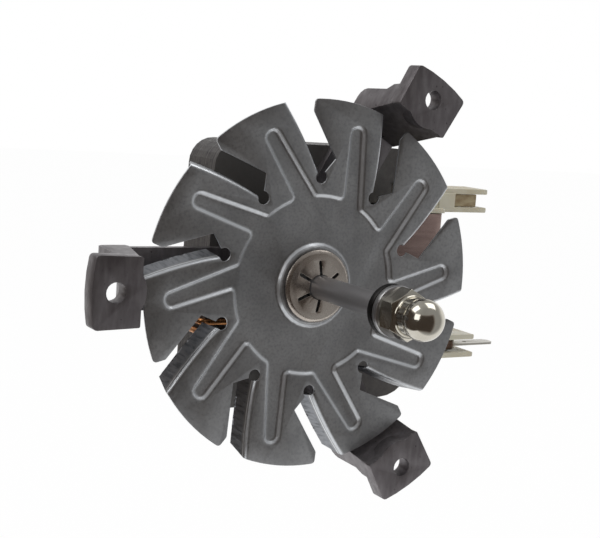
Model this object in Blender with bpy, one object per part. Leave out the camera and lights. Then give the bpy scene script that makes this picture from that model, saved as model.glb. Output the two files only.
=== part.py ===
"""Oven fan motor: a shaded-pole motor on a three-armed bracket, with a bladed cooling fan.

The shaft lies along Y and its tip points to -Y, as the motor sits behind an oven.
The origin is on the shaft's centre line, in the plane of the feet's front faces.
Sizes are in millimetres and become metres when a mesh is made.
"""

import math

import bmesh
import bpy
from mathutils import Matrix, Vector
from mathutils.geometry import delaunay_2d_cdt

MM = 0.001

# Clearance between neighbouring pieces
GAP = 0.3

# Facets round a piece that shows and round one that is hidden
SHOWN_FACETS = 32
HIDDEN_FACETS = 20

# Shaft
SHAFT_RADIUS = 4.0
SHAFT_CHAMFER = 0.7
SHAFT_REAR_STUB = 1.4

# Cooling fan, pressed from one disc of sheet
FAN_BLADES = 10
FAN_RADIUS = 62.5
FAN_THICKNESS = 0.8
FAN_FRONT_Y = 6.9
FAN_PHASE = 127.1
RELIEF_CIRCLE_RADIUS = 36.6
RELIEF_HOLE_RADIUS = 2.25
VANE_WIDTH = 9.3
VANE_HEEL = 0.8
FOLD_ANGLE = 80.0
FOLD_SLANT = 31.4
FOLD_BOW = 0.6
FOLD_INNER_RADIUS = 0.7
FOLD_START_ANGLE = 75.0
BLADE_CUT_ANGLE = -40.0
BLADE_TIP_TRIM = 4.5
BLADE_TIP_SLANT = -5.0
BLADE_TIP_ROUND = 1.2
RIB_DEPTH = 1.2
RIB_WALL = 1.3
RIB_ROOT_HALF_WIDTH = 3.45
RIB_TIP_HALF_WIDTH = 2.5
RIB_ROOT_ANGLE = 10.6
RIB_SLANT = 34.7
RIB_TIP_MARGIN = 7.4
RIB_CORNER_RADIUS = 1.6
STAR_MARGIN = 3.95
FAN_BOSS_RADIUS = 13.0
FAN_BOSS_WALL = 1.5
FAN_BOSS_RISE = 1.7

# Push-on star washer that holds the fan
STAR_WASHER_RADIUS = 12.4
STAR_WASHER_THICKNESS = 0.6
STAR_WASHER_RIM = 1.1
STAR_WASHER_RIM_RISE = 0.7
STAR_WASHER_TEETH = 6
STAR_WASHER_PHASE = 90.0
STAR_SLOT_WIDTH = 1.1
STAR_SLOT_END = 8.8
STAR_TOOTH_RISE = 2.0

# Hardware on the shaft's end
WASHER_REAR_Y = -36.4
WASHER_RADIUS = 8.1
WASHER_THICKNESS = 2.35
NUT_ACROSS_FLATS = 14.0
NUT_HEX_HEIGHT = 6.5
NUT_HEIGHT = 19.2
NUT_DOME_RADIUS = 6.4
NUT_CROWN_THICKNESS = 2.0
NUT_CHAMFER = 0.9
NUT_PHASE = 30.0

# Three-armed front bracket
ARM_ANGLES = (180.0, 60.0, -60.0)
ARM_HALF_WIDTH = 10.4
ARM_THICKNESS = 3.0
FOOT_HOLE_MARGIN = 12.1
FOOT_HOLE_RADIUS = 3.3
FOOT_THICKNESS = 6.0
FOOT_HALF_WIDTH = 11.0
FOOT_FLARE = 0.5
FOOT_INNER_MARGIN = 8.4
FOOT_OUTER_MARGIN = 6.8
FOOT_CROWN = 1.1
FOOT_CORNER_RADIUS = 1.4
FOOT_BOSS_BULGE = 1.6
STRUT_THICKNESS = 3.1
STRUT_LEAN = 5.0
FLANGE_THICKNESS = 2.8
FLANGE_SET_BACK = 0.1
FLANGE_STEP_REACH = 7.7
FLANGE_STEP_DEPTH = 3.6
FLANGE_WAIST_REACH = 5.3
FLANGE_WAIST_DEPTH = 6.4
FLANGE_HEEL_CORNER = 3.6

# Bridges that carry the bearings over the rotor's ends
BRIDGE_RISE = 7.2
BRIDGE_THICKNESS = 3.0
BRIDGE_HUB_RADIUS = 15.0
RISER_LEFT_MARGIN = 0.6
RISER_RIGHT_MARGIN = 12.0
REAR_LEG_HALF_WIDTH = 8.0
REAR_LEG_MARGIN = 4.8
REAR_LEG_CORNER = 4.0
BEARING_RADIUS = 7.0
BEARING_LENGTH = 8.0
BEARING_OVERHANG = 0.7
BEARING_BOSS_WALL = 3.0
BEARING_BOSS_LENGTH = 5.4
FELT_THICKNESS = 0.8
CAP_THICKNESS = 0.7
CAP_SKIRT = 3.8
CAP_BORE_RADIUS = 5.2
THRUST_WASHER_THICKNESS = 1.0

# Laminated stator
STACK_FRONT_Y = 28.0
STACK_DEPTH = 20.0
STACK_YOKE = 19.8
STACK_LEFT_CORNER = 9.0
STACK_RIGHT_CORNER = 14.0
BORE_RADIUS = 18.0
POLE_LEFT_WALL = 12.2
POLE_RIGHT_WALL = 10.5
WINDOW_HALF_HEIGHT = 26.5
WINDOW_CORNER = 1.5
COIL_AIR_SPACE = 6.6
CORE_BAR_WIDTH = 14.0
CORE_BAR_NOTCH = 7.5
CORE_BAR_LIP = 2.0

# Shading rings round the shaded side of each pole
RING_WIRE_RADIUS = 1.3
RING_HEIGHTS = (15.4, 19.1)
RING_SLOT_DEPTH = 2.6
RING_SLIT_WIDTH = 0.9
RING_BEND = 2.2

# Clamp screws, one through each arm
SCREW_LEFT_MARGIN = 3.8
SCREW_RIGHT_MARGIN = 5.0
SCREW_RADIUS = 2.0
SCREW_HEAD_RADIUS = 3.2
SCREW_HEAD_HEIGHT = 2.4

# Rotor
AIR_GAP = 0.5
ROTOR_HUB_RADIUS = 6.5
END_RING_INNER_RADIUS = 10.5
END_RING_WIDTH = 3.4
END_RING_STEP = 0.4

# Coil on its bobbin
BOBBIN_WALL = 1.2
BOBBIN_FLANGE = 1.5
BOBBIN_END_PLAY = 1.2
BOBBIN_CORNER = 3.0
WINDING_BUILD = 4.8
TAPE_THICKNESS = 0.5

# Terminal housings at the ends of the bobbin
HOUSING_FRONT_Y = 26.6
HOUSING_DEPTH = 13.6
HOUSING_HEIGHT = 8.8
HOUSING_ROOT_OVERLAP = 1.6
HOUSING_BLOCK_LENGTH = 11.7
HOUSING_LIP_LENGTH = 15.9
HOUSING_LIP = 1.9
HOUSING_WEB = 3.0
HOUSING_WEB_LENGTH = 11.5
TAB_WIDTH = 6.3
TAB_THICKNESS = 0.8
TAB_ROOT_DEPTH = 5.0
TAB_HOLE_RADIUS = 0.9
TAB_HOLE_INSET = 12.6
TAB_NOSE = 1.6
CRIMP_LENGTH = 6.0
CRIMP_THICKNESS = 2.8
TAB_REACHES = {"lower": 12.3, "upper": -4.8}

# Places that follow from the sizes above
STAR_RADIUS = RELIEF_CIRCLE_RADIUS - RELIEF_HOLE_RADIUS - STAR_MARGIN
FOOT_HOLE_CIRCLE = FAN_RADIUS + FOOT_HOLE_MARGIN
FOOT_INNER_RADIUS = FOOT_HOLE_CIRCLE - FOOT_INNER_MARGIN
FOOT_OUTER_RADIUS = FOOT_HOLE_CIRCLE + FOOT_OUTER_MARGIN
ARM_REACH = FOOT_INNER_RADIUS - STRUT_LEAN
STACK_LEFT_X = -BORE_RADIUS - POLE_LEFT_WALL
WINDOW_LEFT_X = BORE_RADIUS + POLE_RIGHT_WALL
STACK_HALF_HEIGHT = WINDOW_HALF_HEIGHT + STACK_YOKE
STACK_REAR_Y = STACK_FRONT_Y + STACK_DEPTH
STACK_MIDDLE_Y = (STACK_FRONT_Y + STACK_REAR_Y) / 2
ARM_BACK_Y = STACK_FRONT_Y - GAP
ARM_FRONT_Y = ARM_BACK_Y - ARM_THICKNESS
SLEEVE_RADIUS = SHAFT_RADIUS + GAP
BEARING_SEAT_RADIUS = BEARING_RADIUS + GAP
BEARING_BOSS_RADIUS = BEARING_SEAT_RADIUS + BEARING_BOSS_WALL
BRIDGE_INNER = GAP + BRIDGE_RISE
BRIDGE_OUTER = BRIDGE_INNER + BRIDGE_THICKNESS
BOSS_OUTER = BRIDGE_OUTER + BEARING_BOSS_LENGTH
BEARING_INNER = BRIDGE_INNER - BEARING_OVERHANG
BEARING_OUTER = BEARING_INNER + BEARING_LENGTH
CAP_INNER = BOSS_OUTER + GAP
CAP_OUTER = CAP_INNER + CAP_THICKNESS
THRUST_OUTER = BEARING_INNER - GAP
THRUST_INNER = THRUST_OUTER - THRUST_WASHER_THICKNESS
ROTOR_HUB_END = THRUST_INNER - GAP
RING_OUTER_CLEARANCE = GAP + RING_WIRE_RADIUS
NUT_BASE_Y = WASHER_REAR_Y - 2 * WASHER_THICKNESS - 2 * GAP
SHAFT_TIP_Y = NUT_BASE_Y - NUT_HEIGHT + NUT_CROWN_THICKNESS + GAP
SHAFT_REAR_Y = STACK_REAR_Y + CAP_OUTER + SHAFT_REAR_STUB
TAPE_OUTER = GAP + BOBBIN_WALL + GAP + WINDING_BUILD + GAP + TAPE_THICKNESS
CORE_BAR_X = WINDOW_LEFT_X + COIL_AIR_SPACE + TAPE_OUTER + CORE_BAR_WIDTH / 2
STACK_RIGHT_X = CORE_BAR_X + CORE_BAR_WIDTH / 2 + CORE_BAR_LIP
RING_SLOT_CIRCLE = BORE_RADIUS + RING_SLOT_DEPTH
RISER_LEFT_RADIUS = BORE_RADIUS + RISER_LEFT_MARGIN
RISER_RIGHT_RADIUS = BORE_RADIUS + RISER_RIGHT_MARGIN
SCREW_LEFT_CIRCLE = RISER_LEFT_RADIUS + BRIDGE_THICKNESS + SCREW_LEFT_MARGIN
SCREW_RIGHT_CIRCLE = RISER_RIGHT_RADIUS + BRIDGE_THICKNESS + SCREW_RIGHT_MARGIN
RISER_RADII = dict(zip(ARM_ANGLES, (RISER_LEFT_RADIUS, RISER_RIGHT_RADIUS, RISER_RIGHT_RADIUS)))
SCREW_CIRCLES = dict(zip(ARM_ANGLES, (SCREW_LEFT_CIRCLE, SCREW_RIGHT_CIRCLE, SCREW_RIGHT_CIRCLE)))
FLANGE_OUTER_Z = WINDOW_HALF_HEIGHT - BOBBIN_END_PLAY
BOBBIN_FLANGE_Z = FLANGE_OUTER_Z - BOBBIN_FLANGE
HOUSING_LOW_Z = FLANGE_OUTER_Z - HOUSING_ROOT_OVERLAP
HOUSING_ROOT_X = STACK_RIGHT_X + GAP
HOUSING_STEP_X = HOUSING_ROOT_X + HOUSING_BLOCK_LENGTH
HOUSING_TIP_X = HOUSING_STEP_X + HOUSING_LIP_LENGTH
TAB_ROOT_X = HOUSING_STEP_X - TAB_ROOT_DEPTH
TAB_Z = HOUSING_LOW_Z + HOUSING_HEIGHT / 2
TAB_Y = HOUSING_FRONT_Y + (HOUSING_DEPTH - HOUSING_WEB) / 2

# Finishes: material name, colour, roughness, metallic
CASTING = ("bracket_casting", (0.09, 0.085, 0.088), 0.5, 0.7)
LAMINATION = ("lamination_steel", (0.07, 0.065, 0.065), 0.5, 0.7)
BAR_STEEL = ("core_bar_steel", (0.1, 0.095, 0.09), 0.5, 0.7)
NYLON = ("bobbin_nylon", (0.66, 0.62, 0.5), 0.45, 0.0)
COPPER = ("copper_wire", (0.7, 0.33, 0.16), 0.35, 1.0)
TAPE = ("coil_tape", (0.3, 0.19, 0.17), 0.6, 0.0)
TINNED = ("tinned_brass", (0.62, 0.6, 0.55), 0.3, 1.0)
BRONZE = ("sintered_bronze", (0.45, 0.3, 0.16), 0.5, 1.0)
FELT = ("oil_felt", (0.25, 0.22, 0.18), 0.95, 0.0)
ZINC = ("zinc_plated_steel", (0.5, 0.5, 0.5), 0.35, 1.0)
SHAFT_STEEL = ("shaft_steel", (0.3, 0.29, 0.28), 0.35, 1.0)
ROTOR_STEEL = ("rotor_steel", (0.14, 0.14, 0.14), 0.5, 0.8)
CAST_ALUMINIUM = ("cast_aluminium", (0.6, 0.6, 0.6), 0.45, 1.0)
FIBRE = ("thrust_fibre", (0.35, 0.2, 0.1), 0.7, 0.0)
GALVANISED = ("galvanised_sheet", (0.22, 0.24, 0.26), 0.45, 0.9)
SPRING_STEEL = ("stainless_spring", (0.5, 0.46, 0.42), 0.25, 1.0)
BLACK_STEEL = ("blackened_steel", (0.03, 0.03, 0.03), 0.5, 0.6)
NICKEL = ("nickel_plated", (0.66, 0.62, 0.57), 0.15, 1.0)


# Helpers


def clear_scene():
    """Remove every object, so that the model starts from nothing."""
    for item in list(bpy.data.objects):
        bpy.data.objects.remove(item, do_unlink=True)


def material(name, colour, roughness, metallic):
    """Return the Principled material of this name."""
    finish = bpy.data.materials.get(name) or bpy.data.materials.new(name)
    finish.use_nodes = True
    shader = finish.node_tree.nodes["Principled BSDF"]
    shader.inputs["Base Color"].default_value = (*colour, 1.0)
    shader.inputs["Roughness"].default_value = roughness
    shader.inputs["Metallic"].default_value = metallic
    finish.diffuse_color = (*colour, 1.0)
    return finish


def body(name):
    """Empty on the shaft's axis that carries the pieces of one body."""
    carrier = bpy.data.objects.new(name, None)
    carrier.empty_display_size = 0.02
    bpy.context.scene.collection.objects.link(carrier)
    return carrier


def new_object(name, points, faces):
    """Make an object from points in millimetres."""
    mesh = bpy.data.meshes.new(name)
    mesh.from_pydata([Vector(point) * MM for point in points], [], faces)
    tidy = bmesh.new()
    tidy.from_mesh(mesh)
    bmesh.ops.recalc_face_normals(tidy, faces=tidy.faces)
    tidy.to_mesh(mesh)
    tidy.free()
    item = bpy.data.objects.new(name, mesh)
    bpy.context.scene.collection.objects.link(item)
    return item


def finish_piece(item, carrier, look):
    """Hang a piece on its body and give it its material and shading."""
    item.parent = carrier
    item.data.materials.clear()
    item.data.materials.append(material(*look))
    item.data.shade_smooth()
    item.data.set_sharp_from_angle(angle=math.radians(35))
    return item


def combine(target, operation, tools):
    """Join, cut or intersect the target with other solids, and remove those."""
    for tool in tools:
        step = target.modifiers.new("step", "BOOLEAN")
        step.operation = operation
        step.solver = "EXACT"
        step.object = tool
    bpy.context.view_layer.update()
    evaluated = target.evaluated_get(bpy.context.evaluated_depsgraph_get())
    mesh = bpy.data.meshes.new_from_object(evaluated)
    target.modifiers.clear()
    target.data = mesh
    for tool in tools:
        bpy.data.objects.remove(tool, do_unlink=True)
    return target


def polar(radius, degrees):
    """Point at a radius and an angle in the plane across the shaft."""
    angle = math.radians(degrees)
    return (radius * math.cos(angle), radius * math.sin(angle))


def angle_of(point):
    """Angle of a flat point about the shaft, in degrees."""
    return math.degrees(math.atan2(point[1], point[0]))


def arc(centre, radius, start, end, steps):
    """Points of an arc, from one angle in degrees to another."""
    points = []
    for step in range(steps + 1):
        x, z = polar(radius, start + (end - start) * step / steps)
        points.append((centre[0] + x, centre[1] + z))
    return points


def circle(radius, steps, centre=(0.0, 0.0)):
    """Points of a whole circle."""
    return arc(centre, radius, 0.0, 360.0, steps)[:-1]


def filleted(corners, steps=3):
    """Outline through (x, z, radius) corners, each rounded by its own radius."""
    outline = []
    count = len(corners)
    for index, (x, z, radius) in enumerate(corners):
        if radius <= 0.0:
            outline.append((x, z))
            continue
        corner = Vector((x, z))
        before = (Vector(corners[index - 1][:2]) - corner).normalized()
        after = (Vector(corners[(index + 1) % count][:2]) - corner).normalized()
        half = before.angle(after) / 2
        reach = radius / math.tan(half)
        centre = corner + (before + after).normalized() * (radius / math.sin(half))
        start = angle_of(corner + before * reach - centre)
        sweep = (angle_of(corner + after * reach - centre) - start + 180.0) % 360.0 - 180.0
        outline.extend(arc(centre, radius, start, start + sweep, steps))
    return outline


def rectangle(low_x, high_x, low_z, high_z, radius=0.0):
    """Rectangle with rounded corners."""
    corners = [(low_x, low_z), (high_x, low_z), (high_x, high_z), (low_x, high_z)]
    return filleted([(x, z, radius) for x, z in corners])


def rotated(points, degrees):
    """The same points turned about the shaft."""
    turn = math.radians(degrees)
    c, s = math.cos(turn), math.sin(turn)
    return [(c * p[0] - s * p[1], s * p[0] + c * p[1], *p[2:]) for p in points]


def inside(point, loop):
    """True where a point lies inside a closed loop."""
    x, z = point
    hit = False
    for (x1, z1), (x2, z2) in zip(loop, loop[1:] + loop[:1]):
        if (z1 > z) != (z2 > z) and x < x1 + (z - z1) * (x2 - x1) / (z2 - z1):
            hit = not hit
    return hit


def triangulated(loops, rings=()):
    """Flat mesh inside the loops, whose edges also follow the closed rings.

    Returns its points, its faces and, for each point, the number of its line.
    """
    points = []
    edges = []
    lines = []
    for number, loop in enumerate(list(loops) + list(rings)):
        first = len(points)
        points.extend(Vector(point) for point in loop)
        lines.extend([number] * len(loop))
        last = len(loop) - 1
        edges.extend((first + i, first + i + 1) for i in range(last))
        edges.append((first + last, first))
    flat, _, faces, origins, _, _ = delaunay_2d_cdt(points, edges, [], 0, 1e-5)
    kept = []
    for face in faces:
        centre = sum((flat[i] for i in face), Vector((0.0, 0.0))) / len(face)
        if sum(inside(centre, loop) for loop in loops) % 2:
            kept.append(list(face))
    used = sorted({i for face in kept for i in face})
    order = {old: new for new, old in enumerate(used)}
    faces = [[order[i] for i in face] for face in kept]
    return [tuple(flat[i]) for i in used], faces, [lines[origins[i][0]] for i in used]


def sheet_solid(name, front, back, faces):
    """Closed solid between two sides that have the same faces."""
    count = len(front)
    sides = {(a, b) for face in faces for a, b in zip(face, face[1:] + face[:1])}
    polygons = faces + [[i + count for i in reversed(face)] for face in faces]
    for a, b in sorted(sides):
        if (b, a) not in sides:
            polygons.append([b, a, a + count, b + count])
    return new_object(name, front + back, polygons)


def plate(name, loops, front_y, back_y):
    """Flat shape across the shaft, from one place along it to another."""
    flat, faces, _ = triangulated(loops)
    front = [(x, front_y, z) for x, z in flat]
    back = [(x, back_y, z) for x, z in flat]
    return sheet_solid(name, front, back, faces)


def prism(name, loops, low_z, high_z):
    """Shape given by (x, y) points, from one height to another."""
    flat, faces, _ = triangulated(loops)
    low = [(x, y, low_z) for x, y in flat]
    high = [(x, y, high_z) for x, y in flat]
    return sheet_solid(name, low, high, faces)


def turned(name, profile, segments=SHOWN_FACETS):
    """Solid of revolution about the shaft, from a closed (radius, y) profile."""
    points = []
    rows = []
    for radius, along in profile:
        if radius == 0.0:
            rows.append([len(points)] * segments)
            points.append((0.0, along, 0.0))
            continue
        rows.append(list(range(len(points), len(points) + segments)))
        points.extend((x, along, z) for x, z in circle(radius, segments))
    faces = []
    for row, following in zip(rows, rows[1:] + rows[:1]):
        for i in range(segments):
            j = (i + 1) % segments
            corners = list(dict.fromkeys([row[i], row[j], following[j], following[i]]))
            if len(corners) > 2:
                faces.append(corners)
    return new_object(name, points, faces)


def ring(name, inner, outer, start_y, end_y, segments=HIDDEN_FACETS):
    """Plain ring round the shaft."""
    profile = [(inner, start_y), (outer, start_y), (outer, end_y), (inner, end_y)]
    return turned(name, profile, segments)


def turn_piece(item, degrees):
    """Turn a solid about the shaft."""
    item.data.transform(Matrix.Rotation(-math.radians(degrees), 4, "Y"))
    return item


# Shaft


def build_shaft(carrier):
    """Ground shaft with a chamfer at each end."""
    radius = SHAFT_RADIUS
    profile = [
        (0.0, SHAFT_TIP_Y),
        (radius - SHAFT_CHAMFER, SHAFT_TIP_Y),
        (radius, SHAFT_TIP_Y + SHAFT_CHAMFER),
        (radius, SHAFT_REAR_Y - SHAFT_CHAMFER),
        (radius - SHAFT_CHAMFER, SHAFT_REAR_Y),
        (0.0, SHAFT_REAR_Y),
    ]
    finish_piece(turned("shaft", profile), carrier, SHAFT_STEEL)


# Cooling fan: each blade's pattern has its relief hole's centre on the +X axis


def fold_direction():
    """Direction along the fold and direction from the fold to the vane's free edge."""
    along = Vector(polar(1.0, FOLD_SLANT))
    return along, Vector((along.y, -along.x))


def fold_start():
    """Point where the fold meets the relief hole."""
    return Vector((RELIEF_CIRCLE_RADIUS, 0.0)) + Vector(polar(RELIEF_HOLE_RADIUS, FOLD_START_ANGLE))


def reach_to_circle(start, along, radius):
    """Distance from a point, in a direction, to a circle round the shaft."""
    step = start.dot(along)
    return -step + math.sqrt(step * step - start.length_squared + radius * radius)


def fold_bow(part):
    """Sag of the fold towards the vane, at a part of its length."""
    return FOLD_BOW * 4 * part * (1 - part)


def vane_point(part, width):
    """Flat point of a vane, at a part of its length and a width from the fold."""
    along, across = fold_direction()
    heel = VANE_HEEL * min(1.0, 2 * width / VANE_WIDTH)
    edge = fold_start() + across * width
    reach = reach_to_circle(edge, along, FAN_RADIUS)
    return edge + along * (heel + part * (reach - heel))


def blade_outline(fold_steps):
    """Edge of one blade: fold, rim, trimmed tip, cut and relief hole."""
    pitch = 360.0 / FAN_BLADES
    along, across = fold_direction()
    fold = [vane_point(i / fold_steps, 0.0) + across * fold_bow(i / fold_steps)
            for i in range(fold_steps + 1)]
    corner = vane_point(0.0, VANE_WIDTH)
    trim = corner + along * (reach_to_circle(corner, along, FAN_RADIUS) - BLADE_TIP_TRIM)
    slant = Vector(polar(1.0, BLADE_TIP_SLANT))
    tip = trim + slant * reach_to_circle(trim, slant, FAN_RADIUS)
    rim_end = angle_of(tip) - math.degrees(2 * BLADE_TIP_ROUND / FAN_RADIUS)
    rounded = filleted([(*polar(FAN_RADIUS, rim_end), 0.0), (*tip, BLADE_TIP_ROUND), (*trim, 0.0)])
    rim = arc((0.0, 0.0), FAN_RADIUS, angle_of(fold[-1]), pitch + rim_end, 8)
    hole = arc((RELIEF_CIRCLE_RADIUS, 0.0), RELIEF_HOLE_RADIUS, BLADE_CUT_ANGLE, FOLD_START_ANGLE - 360.0, 9)
    return fold[:-1] + rim[:-1] + rotated(rounded + [corner] + hole[:-1], pitch)


def star_outline(grow):
    """Contour of the pressed star: a disc with one slanted rib in each blade."""
    pitch = 360.0 / FAN_BLADES
    corners = []
    root = Vector(polar(STAR_RADIUS, RIB_ROOT_ANGLE))
    along = Vector(polar(1.0, RIB_SLANT))
    across = Vector((-along.y, along.x))
    rim = STAR_RADIUS + grow
    tip = root + along * (reach_to_circle(root, along, FAN_RADIUS - RIB_TIP_MARGIN) + grow)
    tip_half = RIB_TIP_HALF_WIDTH + grow
    root_half = RIB_ROOT_HALF_WIDTH + grow
    sides = []
    for sign in (-1, 1):
        outer = tip + across * (sign * tip_half)
        inner = root + across * (sign * root_half)
        slope = (outer - inner).normalized()
        inner = inner + slope * reach_to_circle(inner, slope, rim)
        sides.append((inner, outer))
    (right_root, right_tip), (left_root, left_tip) = sides
    tip_round = tip_half * 0.9
    corners.append((*right_root, RIB_CORNER_RADIUS - grow))
    corners.append((*right_tip, tip_round))
    corners.append((*left_tip, tip_round))
    corners.append((*left_root, RIB_CORNER_RADIUS - grow))
    start = angle_of(left_root)
    end = angle_of(right_root) + pitch
    for x, z in arc((0.0, 0.0), rim, start, end, 4)[1:-1]:
        corners.append((x, z, 0.0))
    pattern = []
    for blade in range(FAN_BLADES):
        pattern.extend(rotated(corners, FAN_PHASE + blade * pitch))
    return filleted(pattern)


def bent(width, side):
    """Sideways reach and depth of a vane's point; side is 0 in front and 1 behind."""
    outer = FOLD_INNER_RADIUS + FAN_THICKNESS
    radius = outer - side * FAN_THICKNESS
    neutral = FOLD_INNER_RADIUS + FAN_THICKNESS / 2
    angle = min(math.radians(FOLD_ANGLE), width / neutral)
    rest = max(0.0, width - neutral * math.radians(FOLD_ANGLE))
    reach = radius * math.sin(angle) + rest * math.cos(angle)
    depth = outer - radius * math.cos(angle) + rest * math.sin(angle)
    return reach, depth


def vane_widths():
    """Widths from the fold at which a vane has its rows of points."""
    bend = (FOLD_INNER_RADIUS + FAN_THICKNESS / 2) * math.radians(FOLD_ANGLE)
    return [bend * step / 3 for step in range(1, 4)] + [VANE_WIDTH]


def build_cooling_fan(carrier):
    """Ten blades with bent vanes, one pressed star and a raised boss, in one sheet."""
    fold_steps = 6
    pitch = 360.0 / FAN_BLADES
    _, across = fold_direction()
    pattern = blade_outline(fold_steps)
    edge = []
    for blade in range(FAN_BLADES):
        edge.extend(rotated(pattern, FAN_PHASE + blade * pitch))
    bore = circle(SLEEVE_RADIUS, HIDDEN_FACETS)
    rings = [
        (star_outline(RIB_WALL / 2), 0.0),
        (star_outline(-RIB_WALL / 2), RIB_DEPTH),
        (circle(FAN_BOSS_RADIUS + FAN_BOSS_WALL, SHOWN_FACETS), RIB_DEPTH),
        (circle(FAN_BOSS_RADIUS, SHOWN_FACETS), RIB_DEPTH - FAN_BOSS_RISE),
    ]
    depths = [0.0, RIB_DEPTH - FAN_BOSS_RISE] + [depth for _, depth in rings]
    flat, faces, lines = triangulated([edge, bore], [points for points, _ in rings])
    front = []
    back = []
    for (x, z), line in zip(flat, lines):
        y = FAN_FRONT_Y + depths[line]
        front.append((x, y, z))
        back.append((x, y + FAN_THICKNESS, z))
    place = {(round(x, 3), round(z, 3)): i for i, (x, z) in enumerate(flat)}
    for blade in range(FAN_BLADES):
        turn = FAN_PHASE + blade * pitch
        fold = rotated(pattern[:fold_steps + 1], turn)
        row = [place[(round(x, 3), round(z, 3))] for x, z in fold]
        for width in vane_widths():
            following = []
            for step in range(fold_steps + 1):
                part = step / fold_steps
                bow = fold_bow(part)
                used = width * (VANE_WIDTH - bow) / VANE_WIDTH
                base = vane_point(part, used) - across * used + across * bow
                following.append(len(front))
                for side, points in ((0, front), (1, back)):
                    reach, depth = bent(used, side)
                    x, z = rotated([base + across * reach], turn)[0]
                    points.append((x, FAN_FRONT_Y + depth, z))
            for i in range(fold_steps):
                faces.append([row[i], following[i], following[i + 1], row[i + 1]])
            row = following
    finish_piece(sheet_solid("cooling_fan", front, back, faces), carrier, GALVANISED)


# Fan fixings


def star_washer_rise(radius):
    """How far the star washer stands forward of its seat at a radius."""
    rim_inner = STAR_WASHER_RADIUS - STAR_WASHER_RIM
    if radius > rim_inner:
        return STAR_WASHER_RIM_RISE * (STAR_WASHER_RADIUS - radius) / STAR_WASHER_RIM
    if radius > STAR_SLOT_END:
        return STAR_WASHER_RIM_RISE
    tooth = (STAR_SLOT_END - radius) / (STAR_SLOT_END - SLEEVE_RADIUS)
    return STAR_WASHER_RIM_RISE + (STAR_TOOTH_RISE - STAR_WASHER_RIM_RISE) * tooth


def build_star_washer(carrier):
    """Dished spring washer whose teeth bite on the shaft."""
    seat_y = FAN_FRONT_Y + RIB_DEPTH - FAN_BOSS_RISE - GAP
    half = STAR_SLOT_WIDTH / 2
    pitch = 360.0 / STAR_WASHER_TEETH
    bore_half = math.degrees(math.asin(half / SLEEVE_RADIUS))
    bore = []
    for tooth in range(STAR_WASHER_TEETH):
        turn = STAR_WASHER_PHASE + tooth * pitch
        slot = [(SLEEVE_RADIUS * math.cos(math.radians(bore_half)), -half)]
        slot.extend(arc((STAR_SLOT_END - half, 0.0), half, -90.0, 90.0, 4))
        slot.append((slot[0][0], half))
        bore.extend(rotated(slot, turn))
        bore.extend(rotated(arc((0.0, 0.0), SLEEVE_RADIUS, bore_half, pitch - bore_half, 5)[1:-1], turn))
    rings = [circle(STAR_WASHER_RADIUS - STAR_WASHER_RIM, SHOWN_FACETS), circle(STAR_SLOT_END + half, HIDDEN_FACETS)]
    flat, faces, _ = triangulated([circle(STAR_WASHER_RADIUS, SHOWN_FACETS), bore], rings)
    back = [(x, seat_y - star_washer_rise(math.hypot(x, z)), z) for x, z in flat]
    front = [(x, y - STAR_WASHER_THICKNESS, z) for x, y, z in back]
    finish_piece(sheet_solid("star_washer", front, back, faces), carrier, SPRING_STEEL)


def build_fan_spacer(carrier):
    """Sleeve between the fan and the front bearing's cap."""
    start = FAN_FRONT_Y + RIB_DEPTH - FAN_BOSS_RISE + FAN_THICKNESS + GAP
    end = STACK_FRONT_Y - CAP_OUTER - GAP
    finish_piece(ring("fan_spacer", SLEEVE_RADIUS, BEARING_RADIUS, start, end), carrier, ZINC)


def build_shaft_end(carrier):
    """Two washers and a dome nut on the shaft's tip."""
    near = WASHER_REAR_Y
    for name, look in (("washer_rear", BLACK_STEEL), ("washer_front", ZINC)):
        far = near - WASHER_THICKNESS
        washer = ring(name, SLEEVE_RADIUS, WASHER_RADIUS, far, near, SHOWN_FACETS)
        finish_piece(washer, carrier, look)
        near = far - GAP
    corner = NUT_ACROSS_FLATS / 2 / math.cos(math.radians(30)) + GAP
    flat = NUT_ACROSS_FLATS / 2 - GAP / 2
    dome_start = NUT_HEIGHT - NUT_DOME_RADIUS
    profile = [(SLEEVE_RADIUS, 0.0), (flat, 0.0), (corner, NUT_CHAMFER)]
    profile += [(corner, NUT_HEX_HEIGHT - NUT_CHAMFER), (flat, NUT_HEX_HEIGHT)]
    profile += [(NUT_DOME_RADIUS, NUT_HEX_HEIGHT + GAP)]
    dome_steps = 6
    for radius, rise in arc((0.0, dome_start), NUT_DOME_RADIUS, 0.0, 90.0, dome_steps)[:-1]:
        profile.append((radius, rise))
    profile.append((0.0, NUT_HEIGHT))
    depth = NUT_HEIGHT - NUT_CROWN_THICKNESS
    profile += [(0.0, depth), (SLEEVE_RADIUS, depth)]
    nut = turned("dome_nut", [(r, NUT_BASE_Y - y) for r, y in profile])
    hexagon = rotated(circle(NUT_ACROSS_FLATS / 2 / math.cos(math.radians(30)), 6), NUT_PHASE)
    block = plate("nut_hexagon", [hexagon], NUT_BASE_Y - NUT_HEIGHT - 1.0, NUT_BASE_Y + 1.0)
    finish_piece(combine(nut, "INTERSECT", [block]), carrier, NICKEL)


# Brackets


def along_shaft(side, distance):
    """Place along the shaft at a distance outside the stack's front or rear face."""
    if side == "front":
        return STACK_FRONT_Y - distance
    return STACK_REAR_Y + distance


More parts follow.
